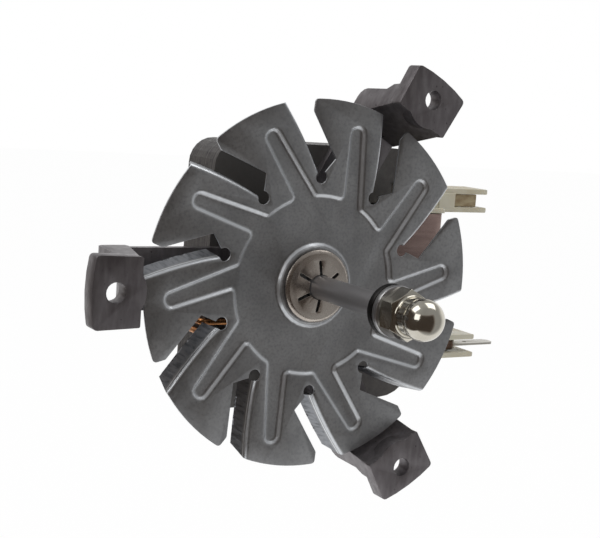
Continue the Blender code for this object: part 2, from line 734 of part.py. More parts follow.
def bearing_bridge(side, half_width):
    """Solids of the bridge over one end of the rotor: hub, boss, spokes and risers."""
    inner = along_shaft(side, BRIDGE_INNER)
    outer = along_shaft(side, BRIDGE_OUTER)
    boss_profile = [
        (BEARING_SEAT_RADIUS, inner),
        (BRIDGE_HUB_RADIUS, inner),
        (BRIDGE_HUB_RADIUS, outer),
        (BEARING_BOSS_RADIUS + 1.0, outer),
        (BEARING_BOSS_RADIUS, along_shaft(side, BRIDGE_OUTER + 1.0)),
        (BEARING_BOSS_RADIUS, along_shaft(side, BOSS_OUTER - 0.5)),
        (BEARING_BOSS_RADIUS - 0.5, along_shaft(side, BOSS_OUTER)),
        (BEARING_SEAT_RADIUS, along_shaft(side, BOSS_OUTER)),
    ]
    pieces = [turned(f"{side}_hub", boss_profile)]
    for degrees in ARM_ANGLES:
        foot = RISER_RADII[degrees] + BRIDGE_THICKNESS
        low = GAP + ARM_THICKNESS
        profile = [
            (BEARING_SEAT_RADIUS + 1.5, BRIDGE_INNER + 0.3),
            (foot - BRIDGE_THICKNESS, BRIDGE_INNER + 0.3),
            (foot - BRIDGE_THICKNESS, GAP + 0.2),
            (foot + 0.5, GAP + 0.2),
            (foot + 0.5, low - 0.2),
            (foot, low),
            (foot, BRIDGE_OUTER - 1.3),
            (foot - 1.0, BRIDGE_OUTER - 0.3),
            (BEARING_SEAT_RADIUS + 1.5, BRIDGE_OUTER - 0.3),
        ]
        loop = [(r, along_shaft(side, d)) for r, d in profile]
        spoke = prism(f"{side}_spoke", [loop], -half_width, half_width)
        pieces.append(turn_piece(spoke, degrees))
    return pieces


def foot_solids():
    """Foot, strut and side flanges of the arm that points along +X."""
    half = FOOT_HALF_WIDTH
    boss_radius = FOOT_INNER_MARGIN + FOOT_BOSS_BULGE
    boss_angle = math.degrees(math.acos(FOOT_INNER_MARGIN / boss_radius))
    outer_half = half + FOOT_FLARE
    corners = [
        (FOOT_INNER_RADIUS, -half, 0.6),
        (FOOT_OUTER_RADIUS, -outer_half, FOOT_CORNER_RADIUS),
        (FOOT_OUTER_RADIUS + FOOT_CROWN * 0.75, -outer_half / 2, 0.0),
        (FOOT_OUTER_RADIUS + FOOT_CROWN, 0.0, 0.0),
        (FOOT_OUTER_RADIUS + FOOT_CROWN * 0.75, outer_half / 2, 0.0),
        (FOOT_OUTER_RADIUS, outer_half, FOOT_CORNER_RADIUS),
        (FOOT_INNER_RADIUS, half, 0.6),
    ]
    outline = filleted(corners)
    outline += arc((FOOT_HOLE_CIRCLE, 0.0), boss_radius, 180.0 - boss_angle, 180.0 + boss_angle, 6)
    hole = circle(FOOT_HOLE_RADIUS, HIDDEN_FACETS, (FOOT_HOLE_CIRCLE, 0.0))
    foot = plate("foot", [outline, hole], 0.0, FOOT_THICKNESS)
    inside_foot = FOOT_THICKNESS / 2
    strut = [
        (FOOT_INNER_RADIUS + 0.3, inside_foot),
        (FOOT_INNER_RADIUS + STRUT_THICKNESS, inside_foot),
        (ARM_REACH + STRUT_THICKNESS, ARM_FRONT_Y),
        (ARM_REACH + STRUT_THICKNESS / 2, ARM_BACK_Y - 0.4),
        (ARM_REACH - 0.8, ARM_BACK_Y - 0.4),
        (ARM_REACH - 0.8, ARM_FRONT_Y + 0.4),
    ]
    step = FOOT_INNER_RADIUS + FLANGE_STEP_REACH
    waist = FOOT_INNER_RADIUS + FLANGE_WAIST_REACH
    flange = filleted([
        (FOOT_INNER_RADIUS + 0.3, inside_foot, 0.0),
        (step, inside_foot, 0.0),
        (step, FOOT_THICKNESS, 0.0),
        (step - 0.4, FOOT_THICKNESS + FLANGE_STEP_DEPTH, 0.0),
        (waist, FOOT_THICKNESS + FLANGE_WAIST_DEPTH, 1.0),
        (waist - 0.3, ARM_BACK_Y - 0.3, FLANGE_HEEL_CORNER),
        (ARM_REACH - 0.2, ARM_BACK_Y - 0.3, 0.0),
        (ARM_REACH - 0.6, ARM_FRONT_Y + 0.3, 0.0),
    ])
    outer = half - FLANGE_SET_BACK
    inner = outer - FLANGE_THICKNESS
    return [
        foot,
        prism("strut", [strut], 0.4 - outer, outer - 0.4),
        prism("flange_left", [flange], -outer, -inner),
        prism("flange_right", [flange], inner, outer),
    ]


def build_front_bracket(carrier):
    """Cast bracket: a bearing bridge, three flat arms and three upright feet."""
    pieces = bearing_bridge("front", ARM_HALF_WIDTH - 0.2)
    for degrees in ARM_ANGLES:
        arm = rectangle(RISER_RADII[degrees] + 0.4, ARM_REACH, -ARM_HALF_WIDTH, ARM_HALF_WIDTH)
        hole = circle(SCREW_RADIUS + GAP, 16, (SCREW_CIRCLES[degrees], 0.0))
        solids = [plate("arm", [arm, hole], ARM_FRONT_Y, ARM_BACK_Y)] + foot_solids()
        pieces.extend(turn_piece(solid, degrees) for solid in solids)
    bracket = combine(pieces[0], "UNION", pieces[1:])
    bracket.name = "front_bracket"
    finish_piece(bracket, carrier, CASTING)


def build_rear_bracket(carrier):
    """Bearing bridge behind the stack, on three short legs."""
    start = along_shaft("rear", GAP)
    pieces = bearing_bridge("rear", REAR_LEG_HALF_WIDTH - 0.2)
    for degrees in ARM_ANGLES:
        end = SCREW_CIRCLES[degrees] + REAR_LEG_MARGIN
        half = REAR_LEG_HALF_WIDTH
        start_r = RISER_RADII[degrees] + 0.4
        corners = [(start_r, -half, 0.0), (end, -half, REAR_LEG_CORNER)]
        corners += [(end, half, REAR_LEG_CORNER), (start_r, half, 0.0)]
        hole = circle(SCREW_RADIUS + GAP, 16, (SCREW_CIRCLES[degrees], 0.0))
        leg = plate("leg", [filleted(corners), hole], start, start + ARM_THICKNESS)
        pieces.append(turn_piece(leg, degrees))
    bracket = combine(pieces[0], "UNION", pieces[1:])
    bracket.name = "rear_bracket"
    finish_piece(bracket, carrier, CASTING)


def build_bearings(carrier):
    """Sintered bush, oil felt and pressed cap in each bearing boss."""
    for side in ("front", "rear"):
        def at(distance):
            return along_shaft(side, distance)
        bush = ring(f"{side}_bearing", SLEEVE_RADIUS, BEARING_RADIUS, at(BEARING_INNER), at(BEARING_OUTER))
        finish_piece(bush, carrier, BRONZE)
        felt_start = BEARING_OUTER + GAP
        felt = ring(f"{side}_felt", SLEEVE_RADIUS, BEARING_RADIUS, at(felt_start), at(felt_start + FELT_THICKNESS))
        finish_piece(felt, carrier, FELT)
        skirt = BEARING_BOSS_RADIUS + GAP
        profile = [
            (CAP_BORE_RADIUS, at(CAP_INNER)),
            (skirt, at(CAP_INNER)),
            (skirt, at(CAP_OUTER - CAP_SKIRT)),
            (skirt + CAP_THICKNESS, at(CAP_OUTER - CAP_SKIRT)),
            (skirt + CAP_THICKNESS, at(CAP_OUTER - CAP_THICKNESS)),
            (skirt, at(CAP_OUTER)),
            (CAP_BORE_RADIUS, at(CAP_OUTER)),
        ]
        finish_piece(turned(f"{side}_retainer", profile), carrier, ZINC)


def build_clamp_screws(carrier):
    """Screws from the rear bracket, through the stack, into the front arms."""
    tip = ARM_FRONT_Y + 0.5
    seat = along_shaft("rear", 2 * GAP + ARM_THICKNESS)
    for number, degrees in enumerate(ARM_ANGLES, start=1):
        profile = [
            (0.0, tip),
            (SCREW_RADIUS - 0.4, tip),
            (SCREW_RADIUS, tip + 0.4),
            (SCREW_RADIUS, seat),
            (SCREW_HEAD_RADIUS, seat),
            (SCREW_HEAD_RADIUS, seat + SCREW_HEAD_HEIGHT * 0.6),
            (SCREW_HEAD_RADIUS * 0.7, seat + SCREW_HEAD_HEIGHT),
            (0.0, seat + SCREW_HEAD_HEIGHT),
        ]
        screw = turned(f"clamp_screw_{number}", profile, 16)
        x, z = polar(SCREW_CIRCLES[degrees], degrees)
        screw.location = (x * MM, 0.0, z * MM)
        finish_piece(screw, carrier, ZINC)


# Stator


def ring_slot_angle(height):
    """Angle of a shading ring's slot, for rings on the right pole."""
    return math.degrees(math.asin(height / RING_SLOT_CIRCLE))


def bore_outline():
    """Bore with an open slot for each shading ring."""
    slot_radius = RING_WIRE_RADIUS + GAP
    half = RING_SLIT_WIDTH / 2
    mouth = math.degrees(math.asin(half / BORE_RADIUS))
    throat = 180.0 - math.degrees(math.asin(half / slot_radius))
    angles = sorted(ring_slot_angle(height) + turn for height in RING_HEIGHTS for turn in (0.0, 180.0))
    outline = []
    for angle, following in zip(angles, angles[1:] + [angles[0] + 360.0]):
        slot = arc((RING_SLOT_CIRCLE, 0.0), slot_radius, -throat, throat, 10)
        outline.extend(rotated(slot, angle))
        steps = max(2, round((following - angle) / 8.0))
        outline.extend(arc((0.0, 0.0), BORE_RADIUS, angle + mouth, following - mouth, steps))
    return outline


def build_stator_core(carrier):
    """Laminated C-frame with its bore, coil window and notches for the core bar."""
    bar_left = CORE_BAR_X - CORE_BAR_WIDTH / 2 - GAP
    bar_right = CORE_BAR_X + CORE_BAR_WIDTH / 2 + GAP
    notch = WINDOW_HALF_HEIGHT + CORE_BAR_NOTCH
    lower = [
        (STACK_LEFT_X, -STACK_HALF_HEIGHT, STACK_LEFT_CORNER),
        (STACK_RIGHT_X, -STACK_HALF_HEIGHT, STACK_RIGHT_CORNER),
        (STACK_RIGHT_X, -WINDOW_HALF_HEIGHT, 0.0),
        (bar_right, -WINDOW_HALF_HEIGHT, 0.0),
        (bar_right, -notch, 0.0),
        (bar_left, -notch, 0.0),
        (bar_left, -WINDOW_HALF_HEIGHT, 0.0),
        (WINDOW_LEFT_X, -WINDOW_HALF_HEIGHT, WINDOW_CORNER),
    ]
    upper = [(x, -z, radius) for x, z, radius in reversed(lower)]
    holes = []
    for degrees in ARM_ANGLES:
        centre = polar(SCREW_CIRCLES[degrees], degrees)
        holes.append(circle(SCREW_RADIUS + GAP, 16, centre))
    loops = [filleted(lower + upper, 6), bore_outline()] + holes
    finish_piece(plate("stator_core", loops, STACK_FRONT_Y, STACK_REAR_Y), carrier, LAMINATION)


def build_core_bar(carrier):
    """Laminated bar that closes the frame through the coil."""
    half = CORE_BAR_WIDTH / 2
    reach = WINDOW_HALF_HEIGHT + CORE_BAR_NOTCH - GAP
    outline = rectangle(CORE_BAR_X - half, CORE_BAR_X + half, -reach, reach)
    finish_piece(plate("core_bar", [outline], STACK_FRONT_Y, STACK_REAR_Y), carrier, BAR_STEEL)


def build_shading_rings(carrier):
    """Closed copper rings, two on each pole, through the slots beside the bore."""
    sides = 8
    front = STACK_FRONT_Y - RING_OUTER_CLEARANCE
    rear = STACK_REAR_Y + RING_OUTER_CLEARANCE
    number = 1
    for turn, outer in ((180.0, -STACK_LEFT_X), (0.0, WINDOW_LEFT_X)):
        for height in RING_HEIGHTS:
            inner = polar(RING_SLOT_CIRCLE, ring_slot_angle(height))[0]
            path = rectangle(inner, outer + RING_OUTER_CLEARANCE, front, rear, RING_BEND)
            points = []
            faces = []
            count = len(path)
            for i, (x, y) in enumerate(path):
                before = Vector(path[i - 1])
                after = Vector(path[(i + 1) % count])
                tangent = (after - before).normalized()
                for r, z in circle(RING_WIRE_RADIUS, sides):
                    points.append((x + tangent.y * r, y - tangent.x * r, height + z))
                for j in range(sides):
                    k = (j + 1) % sides
                    n = (i + 1) % count
                    faces.append([i * sides + j, i * sides + k, n * sides + k, n * sides + j])
            wire = turn_piece(new_object(f"shading_ring_{number}", points, faces), turn)
            finish_piece(wire, carrier, COPPER)
            number += 1


# Coil


def round_bar(margin, radius):
    """Outline in plan round the core bar, at a margin from its faces."""
    half = CORE_BAR_WIDTH / 2 + margin
    depth = STACK_DEPTH / 2 + margin
    return rectangle(CORE_BAR_X - half, CORE_BAR_X + half, STACK_MIDDLE_Y - depth, STACK_MIDDLE_Y + depth, radius)


def housing_solids(sign):
    """Terminal housing on one end of the bobbin: a block, two lips and a back web."""
    low = HOUSING_LOW_Z
    high = low + HOUSING_HEIGHT
    corners = [
        (HOUSING_ROOT_X, low, 0.0),
        (HOUSING_TIP_X, low, 0.5),
        (HOUSING_TIP_X, low + HOUSING_LIP, 0.5),
        (HOUSING_STEP_X, low + HOUSING_LIP, 0.5),
        (HOUSING_STEP_X, TAB_Z - TAB_THICKNESS / 2 - GAP, 0.0),
        (TAB_ROOT_X - GAP, TAB_Z - TAB_THICKNESS / 2 - GAP, 0.0),
        (TAB_ROOT_X - GAP, TAB_Z + TAB_THICKNESS / 2 + GAP, 0.0),
        (HOUSING_STEP_X, TAB_Z + TAB_THICKNESS / 2 + GAP, 0.0),
        (HOUSING_STEP_X, high - HOUSING_LIP, 0.5),
        (HOUSING_TIP_X, high - HOUSING_LIP, 0.5),
        (HOUSING_TIP_X, high, 0.5),
        (HOUSING_ROOT_X, high, 1.5),
    ]
    outline = [(x, sign * z) for x, z in filleted(corners)]
    back = HOUSING_FRONT_Y + HOUSING_DEPTH
    web = rectangle(HOUSING_ROOT_X + 0.5, HOUSING_STEP_X + HOUSING_WEB_LENGTH, low + 0.6, high - 0.6)
    web = [(x, sign * z) for x, z in web]
    return [
        plate("housing_lips", [outline], HOUSING_FRONT_Y, back),
        plate("housing_web", [web], back - HOUSING_WEB, back - 0.4),
    ]


def build_bobbin(carrier):
    """Moulded bobbin: a sleeve on the core bar, two flanges and two terminal housings."""
    opening = round_bar(GAP, 0.0)
    sleeve = prism("sleeve", [round_bar(GAP + BOBBIN_WALL, 1.0), opening], 0.4 - FLANGE_OUTER_Z, FLANGE_OUTER_Z - 0.4)
    pieces = []
    for sign in (-1, 1):
        low, high = sorted((sign * BOBBIN_FLANGE_Z, sign * FLANGE_OUTER_Z))
        pieces.append(prism("flange", [round_bar(TAPE_OUTER, BOBBIN_CORNER), opening], low, high))
        pieces.extend(housing_solids(sign))
    bobbin = combine(sleeve, "UNION", pieces)
    bobbin.name = "bobbin"
    finish_piece(bobbin, carrier, NYLON)


def build_coil(carrier):
    """Copper winding and the tape round it."""
    reach = BOBBIN_FLANGE_Z - GAP
    inner = GAP + BOBBIN_WALL + GAP
    outer = inner + WINDING_BUILD
    loops = [round_bar(outer, WINDING_BUILD), round_bar(inner, 1.2)]
    finish_piece(prism("coil_winding", loops, -reach, reach), carrier, COPPER)
    inner = outer + GAP
    outer = inner + TAPE_THICKNESS
    loops = [round_bar(outer, WINDING_BUILD + GAP + TAPE_THICKNESS), round_bar(inner, WINDING_BUILD + GAP)]
    finish_piece(prism("coil_tape", loops, -reach, reach), carrier, TAPE)


def build_terminals(carrier):
    """Spade terminal in each housing, with its crimp behind the tab."""
    for name, sign in (("lower", -1), ("upper", 1)):
        tip = HOUSING_TIP_X + TAB_REACHES[name]
        half = TAB_WIDTH / 2
        corners = [
            (TAB_ROOT_X, TAB_Y - half, 0.0),
            (tip - TAB_NOSE, TAB_Y - half, 0.0),
            (tip, TAB_Y - half + TAB_NOSE, 0.0),
            (tip, TAB_Y + half - TAB_NOSE, 0.0),
            (tip - TAB_NOSE, TAB_Y + half, 0.0),
            (TAB_ROOT_X, TAB_Y + half, 0.0),
        ]
        loops = [filleted(corners)]
        if tip > HOUSING_TIP_X:
            loops.append(circle(TAB_HOLE_RADIUS, 16, (tip - TAB_HOLE_INSET, TAB_Y)))
        middle = sign * TAB_Z
        tab = prism("tab", loops, middle - TAB_THICKNESS / 2, middle + TAB_THICKNESS / 2)
        crimp_start = HOUSING_STEP_X + GAP
        crimp = rectangle(crimp_start, crimp_start + CRIMP_LENGTH, TAB_Y - half + 0.4, TAB_Y + half - 0.4)
        barrel = prism("crimp", [crimp], middle - CRIMP_THICKNESS / 2, middle + CRIMP_THICKNESS / 2)
        terminal = combine(tab, "UNION", [barrel])
        terminal.name = f"spade_terminal_{name}"
        finish_piece(terminal, carrier, TINNED)


# Rotor


def build_rotor_core(carrier):
    """Laminated rotor on its hub, an end ring on each face and a thrust washer on each side."""
    radius = BORE_RADIUS - AIR_GAP
    front_hub = along_shaft("front", ROTOR_HUB_END)
    rear_hub = along_shaft("rear", ROTOR_HUB_END)
    profile = [
        (SLEEVE_RADIUS, front_hub),
        (ROTOR_HUB_RADIUS, front_hub),
        (ROTOR_HUB_RADIUS, STACK_FRONT_Y),
        (radius, STACK_FRONT_Y),
        (radius, STACK_REAR_Y),
        (ROTOR_HUB_RADIUS, STACK_REAR_Y),
        (ROTOR_HUB_RADIUS, rear_hub),
        (SLEEVE_RADIUS, rear_hub),
    ]
    finish_piece(turned("rotor_core", profile, 40), carrier, ROTOR_STEEL)
    for side in ("front", "rear"):
        start = along_shaft(side, GAP)
        end = along_shaft(side, GAP + END_RING_WIDTH)
        casting = ring(f"end_ring_{side}", END_RING_INNER_RADIUS, radius - END_RING_STEP, start, end)
        finish_piece(casting, carrier, CAST_ALUMINIUM)
        start = along_shaft(side, THRUST_INNER)
        end = along_shaft(side, THRUST_OUTER)
        washer = ring(f"thrust_washer_{side}", SLEEVE_RADIUS, BEARING_RADIUS, start, end)
        finish_piece(washer, carrier, FIBRE)


def build_motor():
    """Build every piece of the motor."""
    clear_scene()
    stator = body("stator")
    build_stator_core(stator)
    build_core_bar(stator)
    build_shading_rings(stator)
    build_bobbin(stator)
    build_coil(stator)
    build_terminals(stator)
    build_front_bracket(stator)
    build_rear_bracket(stator)
    build_bearings(stator)
    build_clamp_screws(stator)
    rotor = body("rotor")
    build_shaft(rotor)
    build_rotor_core(rotor)
    build_fan_spacer(rotor)
    build_cooling_fan(rotor)
    build_star_washer(rotor)
    build_shaft_end(rotor)


build_motor()
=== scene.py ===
"""Looks of an oven fan motor: a shaded-pole motor on a cast bracket, with a pressed cooling fan.

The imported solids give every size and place. The shaft lies along Y with its tip at -Y,
and the origin is on its centre line, in the plane of the feet's front faces.
"""

import math

import bmesh
import bpy
from mathutils import Matrix, Vector


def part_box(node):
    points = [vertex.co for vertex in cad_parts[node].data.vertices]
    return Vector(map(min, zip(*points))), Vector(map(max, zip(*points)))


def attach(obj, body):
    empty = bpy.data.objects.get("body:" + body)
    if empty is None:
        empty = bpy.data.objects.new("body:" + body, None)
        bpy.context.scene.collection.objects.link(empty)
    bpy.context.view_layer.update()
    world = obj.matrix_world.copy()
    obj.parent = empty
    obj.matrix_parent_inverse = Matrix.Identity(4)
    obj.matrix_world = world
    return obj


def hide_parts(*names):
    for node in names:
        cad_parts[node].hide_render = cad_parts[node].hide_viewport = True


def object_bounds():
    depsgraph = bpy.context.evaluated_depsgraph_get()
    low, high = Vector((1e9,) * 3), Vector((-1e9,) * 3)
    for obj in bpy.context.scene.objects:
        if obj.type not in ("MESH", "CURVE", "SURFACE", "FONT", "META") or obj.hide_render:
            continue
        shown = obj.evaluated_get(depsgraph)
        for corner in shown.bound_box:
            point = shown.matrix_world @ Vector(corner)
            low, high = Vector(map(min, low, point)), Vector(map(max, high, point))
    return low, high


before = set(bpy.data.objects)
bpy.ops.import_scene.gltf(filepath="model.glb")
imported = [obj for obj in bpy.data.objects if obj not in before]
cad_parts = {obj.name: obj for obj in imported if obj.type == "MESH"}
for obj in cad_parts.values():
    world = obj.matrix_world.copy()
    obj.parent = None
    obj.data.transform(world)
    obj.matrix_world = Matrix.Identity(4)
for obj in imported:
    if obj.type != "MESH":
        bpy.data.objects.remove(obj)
cad_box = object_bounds()

MM = 0.001


# Stator core
# Thin steel sheets, punched with the bore, the coil's window and the screw holes, and stacked.
# The sheets are pressed together, and their punched edges show as fine lines along the sides.

SHEET_PITCH = 0.5 * MM
SHEET_THICKNESS = 0.45 * MM
WELD_REACH = 0.001 * MM
FLAT_TURN = math.radians(0.4)
SHEET_COLOURS = ((0.06, 0.057, 0.063), (0.2, 0.19, 0.18))


def whole_form(node):
    """Closed mesh of a CAD node, with its flat faces in one piece."""
    form = bmesh.new()
    form.from_mesh(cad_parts[node].data)
    bmesh.ops.remove_doubles(form, verts=form.verts, dist=WELD_REACH)
    bmesh.ops.dissolve_limit(form, angle_limit=FLAT_TURN, verts=form.verts, edges=form.edges)
    return form


def make_piece(name, form, look, body):
    """Object with this mesh and this finish, riding on a body."""
    mesh = bpy.data.meshes.new(name)
    bmesh.ops.recalc_face_normals(form, faces=form.faces)
    form.to_mesh(mesh)
    form.free()
    mesh.materials.append(look)
    item = bpy.data.objects.new(name, mesh)
    bpy.context.scene.collection.objects.link(item)
    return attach(item, body)


def new_finish(name):
    """New material, with its node tree and its shader."""
    finish = bpy.data.materials.new(name)
    finish.use_nodes = True
    tree = finish.node_tree
    return finish, tree, tree.nodes["Principled BSDF"]


def grain(tree, scale, detail=4.0, stretch=(1.0, 1.0, 1.0)):
    """Noise over the piece's own coordinates, with its scale in grains for each metre."""
    place = tree.nodes.new("ShaderNodeTexCoord")
    mapping = tree.nodes.new("ShaderNodeMapping")
    mapping.inputs["Scale"].default_value = stretch
    noise = tree.nodes.new("ShaderNodeTexNoise")
    noise.inputs["Scale"].default_value = scale
    noise.inputs["Detail"].default_value = detail
    tree.links.new(place.outputs["Object"], mapping.inputs["Vector"])
    tree.links.new(mapping.outputs["Vector"], noise.inputs["Vector"])
    return noise.outputs["Fac"]


def ranged(tree, value, low, high, start=0.0, end=1.0):
    """The value, spread from one range to another."""
    spread = tree.nodes.new("ShaderNodeMapRange")
    spread.inputs["From Min"].default_value = low
    spread.inputs["From Max"].default_value = high
    spread.inputs["To Min"].default_value = start
    spread.inputs["To Max"].default_value = end
    tree.links.new(value, spread.inputs["Value"])
    return spread.outputs["Result"]


def tinted(tree, share, dark, light):
    """Colour between two, by a share; each may be a colour or a socket."""
    mix = tree.nodes.new("ShaderNodeMix")
    mix.data_type = "RGBA"
    tree.links.new(share, mix.inputs["Factor"])
    for socket, colour in ((mix.inputs["A"], dark), (mix.inputs["B"], light)):
        if isinstance(colour, tuple):
            socket.default_value = (*colour, 1.0)
        else:
            tree.links.new(colour, socket)
    return mix.outputs["Result"]


def roughened(tree, shader, height, strength, depth):
    """Bump on the shader from a height and its depth in metres."""
    bump = tree.nodes.new("ShaderNodeBump")
    bump.inputs["Strength"].default_value = strength
    bump.inputs["Distance"].default_value = depth
    tree.links.new(height, bump.inputs["Height"])
    tree.links.new(bump.outputs["Normal"], shader.inputs["Normal"])


def lamination_finish(name, dark, light):
    """Oiled steel sheets: dark faces, and edges that differ a little from sheet to sheet."""
    finish, tree, shader = new_finish(name)
    blotches = ranged(tree, grain(tree, 420.0, 6.0), 0.35, 0.7)
    sheets = ranged(tree, grain(tree, 1.0, 2.0, (9.0, 2600.0, 9.0)), 0.35, 0.7)
    face = tinted(tree, blotches, dark, tuple(0.5 * (a + b) for a, b in zip(dark, light)))
    tree.links.new(tinted(tree, sheets, face, light), shader.inputs["Base Color"])
    shader.inputs["Metallic"].default_value = 0.85
    tree.links.new(ranged(tree, grain(tree, 900.0), 0.3, 0.7, 0.38, 0.55), shader.inputs["Roughness"])
    roughened(tree, shader, grain(tree, 2500.0), 0.25, 0.04 * MM)
    return finish


def stacked_sheets(name, node, look):
    """Stack of punched sheets with the outline of a CAD node's front face."""
    low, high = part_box(node)
    sheet = whole_form(node)
    not_front = [face for face in sheet.faces if face.normal.y > -0.9]
    bmesh.ops.delete(sheet, geom=not_front, context="FACES")
    stack = make_piece(name, sheet, look, "stator")
    thick = stack.modifiers.new("thickness", "SOLIDIFY")
    thick.thickness = SHEET_THICKNESS
    thick.offset = -1.0
    copies = stack.modifiers.new("stack", "ARRAY")
    copies.use_relative_offset = False
    copies.use_constant_offset = True
    copies.constant_offset_displace = (0.0, SHEET_PITCH, 0.0)
    copies.count = round((high.y - low.y) / SHEET_PITCH)
    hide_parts(node)
    return stack


lamination_steel = lamination_finish("lamination_steel", *SHEET_COLOURS)
core = stacked_sheets("core_sheets", "stator_core", lamination_steel)


# Core bar
# A second, smaller stack of punched steel sheets, which carries the coil.
# It is pushed through the bobbin and into the core's two notches.

BAR_COLOURS = ((0.07, 0.066, 0.062), (0.2, 0.18, 0.15))
bar_steel = lamination_finish("core_bar_steel", *BAR_COLOURS)
bar = stacked_sheets("bar_sheets", "core_bar", bar_steel)


# Shading rings
# Two closed loops of thick copper wire on each pole, bent round it and brazed.
# Handling has left them brown in patches.

RING_COPPER = (0.62, 0.29, 0.12)
RING_OXIDE = (0.2, 0.085, 0.035)
RING_SMOOTHING = 2
RING_FACE_TURN = 0.7
RING_CORNER_TURN = 3.1


def copper_finish():
    """Bare copper, brown where it has oxidised."""
    finish, tree, shader = new_finish("copper_wire")
    stains = ranged(tree, grain(tree, 260.0, 5.0), 0.4, 0.68)
    tree.links.new(tinted(tree, stains, RING_COPPER, RING_OXIDE), shader.inputs["Base Color"])
    shader.inputs["Metallic"].default_value = 1.0
    tree.links.new(ranged(tree, grain(tree, 700.0), 0.3, 0.7, 0.22, 0.42), shader.inputs["Roughness"])
    roughened(tree, shader, grain(tree, 1500.0), 0.2, 0.03 * MM)
    return finish


copper = copper_finish()
for number in range(1, 5):
    loop = whole_form(f"shading_ring_{number}")
    bmesh.ops.join_triangles(loop, faces=loop.faces, angle_face_threshold=RING_FACE_TURN,
                             angle_shape_threshold=RING_CORNER_TURN)
    ring = make_piece(f"copper_loop_{number}", loop, copper, "stator")
    ring.data.shade_smooth()
    rounding = ring.modifiers.new("round", "SUBSURF")
    rounding.levels = RING_SMOOTHING
    rounding.render_levels = RING_SMOOTHING
    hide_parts(f"shading_ring_{number}")


# Bobbin
# One nylon moulding: a sleeve on the core bar, a flange at each end and a terminal housing on each.
# It is cream, a little translucent, and slightly browned.

BOBBIN_EDGE = 0.3 * MM
FRESH_NYLON = (0.6, 0.57, 0.46)
AGED_NYLON = (0.47, 0.41, 0.28)


def round_edges(item, width, segments=3, angle=30.0):
    """Round a piece's edges where its faces turn by more than an angle."""
    item.data.shade_smooth()
    edges = item.modifiers.new("edges", "BEVEL")
    edges.limit_method = "ANGLE"
    edges.angle_limit = math.radians(angle)
    edges.width = width
    edges.segments = segments
    edges.use_clamp_overlap = True
    edges.harden_normals = True


def nylon_finish():
    """Cream nylon with a faint sheen, and browner in patches."""
    finish, tree, shader = new_finish("bobbin_nylon")
    patches = ranged(tree, grain(tree, 70.0, 3.0), 0.4, 0.75)
    tree.links.new(tinted(tree, patches, FRESH_NYLON, AGED_NYLON), shader.inputs["Base Color"])
    shader.inputs["Subsurface Weight"].default_value = 0.15
    shader.inputs["Subsurface Radius"].default_value = (1.0, 0.8, 0.5)
    shader.inputs["Subsurface Scale"].default_value = 1.0 * MM
    tree.links.new(ranged(tree, grain(tree, 1200.0), 0.3, 0.7, 0.36, 0.5), shader.inputs["Roughness"])
    roughened(tree, shader, grain(tree, 1800.0), 0.15, 0.04 * MM)
    return finish


nylon = nylon_finish()
bobbin = make_piece("moulded_bobbin", whole_form("bobbin"), nylon, "stator")
round_edges(bobbin, BOBBIN_EDGE)
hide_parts("bobbin")


# Coil
# Enamelled copper wire in close turns round the bobbin, under brown polyester tape.
# The turns show faintly through the tape, whose end is stuck down on the outer side.

TURN_BANDS = 620.0
TAPE_BANDS = 210.0
TAPE_EDGE = 0.12 * MM
TAPE_END_EDGE = 0.08 * MM
TAPE_END_INSET_LOW = Vector((-0.05, 7.5, 0.7)) * MM
TAPE_END_INSET_HIGH = Vector((0.14, -3.2, -1.1)) * MM
TAPE_COLOURS = ((0.25, 0.165, 0.145), (0.36, 0.25, 0.22))
# The dark copper in the grooves between turns is painted shade; the light one is the copper's own colour.
TURN_GROOVE_SHADE_COLOURS = ((0.3, 0.11, 0.05), (0.62, 0.27, 0.11))


def turn_ridges(tree, bands, waver):
    """Bands along Z, as the turns of wire lie, that waver a little."""
    place = tree.nodes.new("ShaderNodeTexCoord")
    turns = tree.nodes.new("ShaderNodeTexWave")
    turns.bands_direction = "Z"
    turns.inputs["Scale"].default_value = bands
    turns.inputs["Distortion"].default_value = waver
    tree.links.new(place.outputs["Object"], turns.inputs["Vector"])
    return turns


def wire_turns_finish():
    """Copper turns, as fine ridges round the coil, with painted shade darkening the grooves between them."""
    finish, tree, shader = new_finish("wound_copper")
    ridges_and_groove_shade = turn_ridges(tree, TURN_BANDS, 0.6).outputs["Fac"]
    # The ridge height also sets the colour: painted shade in the grooves.
    tree.links.new(tinted(tree, ridges_and_groove_shade, *TURN_GROOVE_SHADE_COLOURS), shader.inputs["Base Color"])
    shader.inputs["Metallic"].default_value = 0.9
    shader.inputs["Roughness"].default_value = 0.32
    roughened(tree, shader, ridges_and_groove_shade, 0.8, 0.15 * MM)
    return finish


def mixed_level(tree, share, low, high):
    """Number between two, by a share; each may be a number or a socket."""
    mix = tree.nodes.new("ShaderNodeMix")
    tree.links.new(share, mix.inputs["Factor"])
    for socket, level in ((mix.inputs["A"], low), (mix.inputs["B"], high)):
        if isinstance(level, float):
            socket.default_value = level
        else:
            tree.links.new(level, socket)
    return mix.outputs["Result"]


def tape_finish():
    """Brown tape, creased and slightly glossy, with the turns showing under it."""
    finish, tree, shader = new_finish("coil_tape")
    shade = ranged(tree, grain(tree, 75.0, 6.0, (1.0, 1.0, 8.0)), 0.3, 0.75)
    tree.links.new(tinted(tree, shade, *TAPE_COLOURS), shader.inputs["Base Color"])
    tree.links.new(ranged(tree, grain(tree, 500.0), 0.3, 0.7, 0.42, 0.6), shader.inputs["Roughness"])
    creases = grain(tree, 90.0, 6.0, (1.0, 1.0, 5.0))
    turns = turn_ridges(tree, TAPE_BANDS, 2.2)
    turns.inputs["Detail Scale"].default_value = 60.0
    surface = mixed_level(tree, creases, turns.outputs["Fac"], creases)
    roughened(tree, shader, surface, 0.4, 0.22 * MM)
    return finish


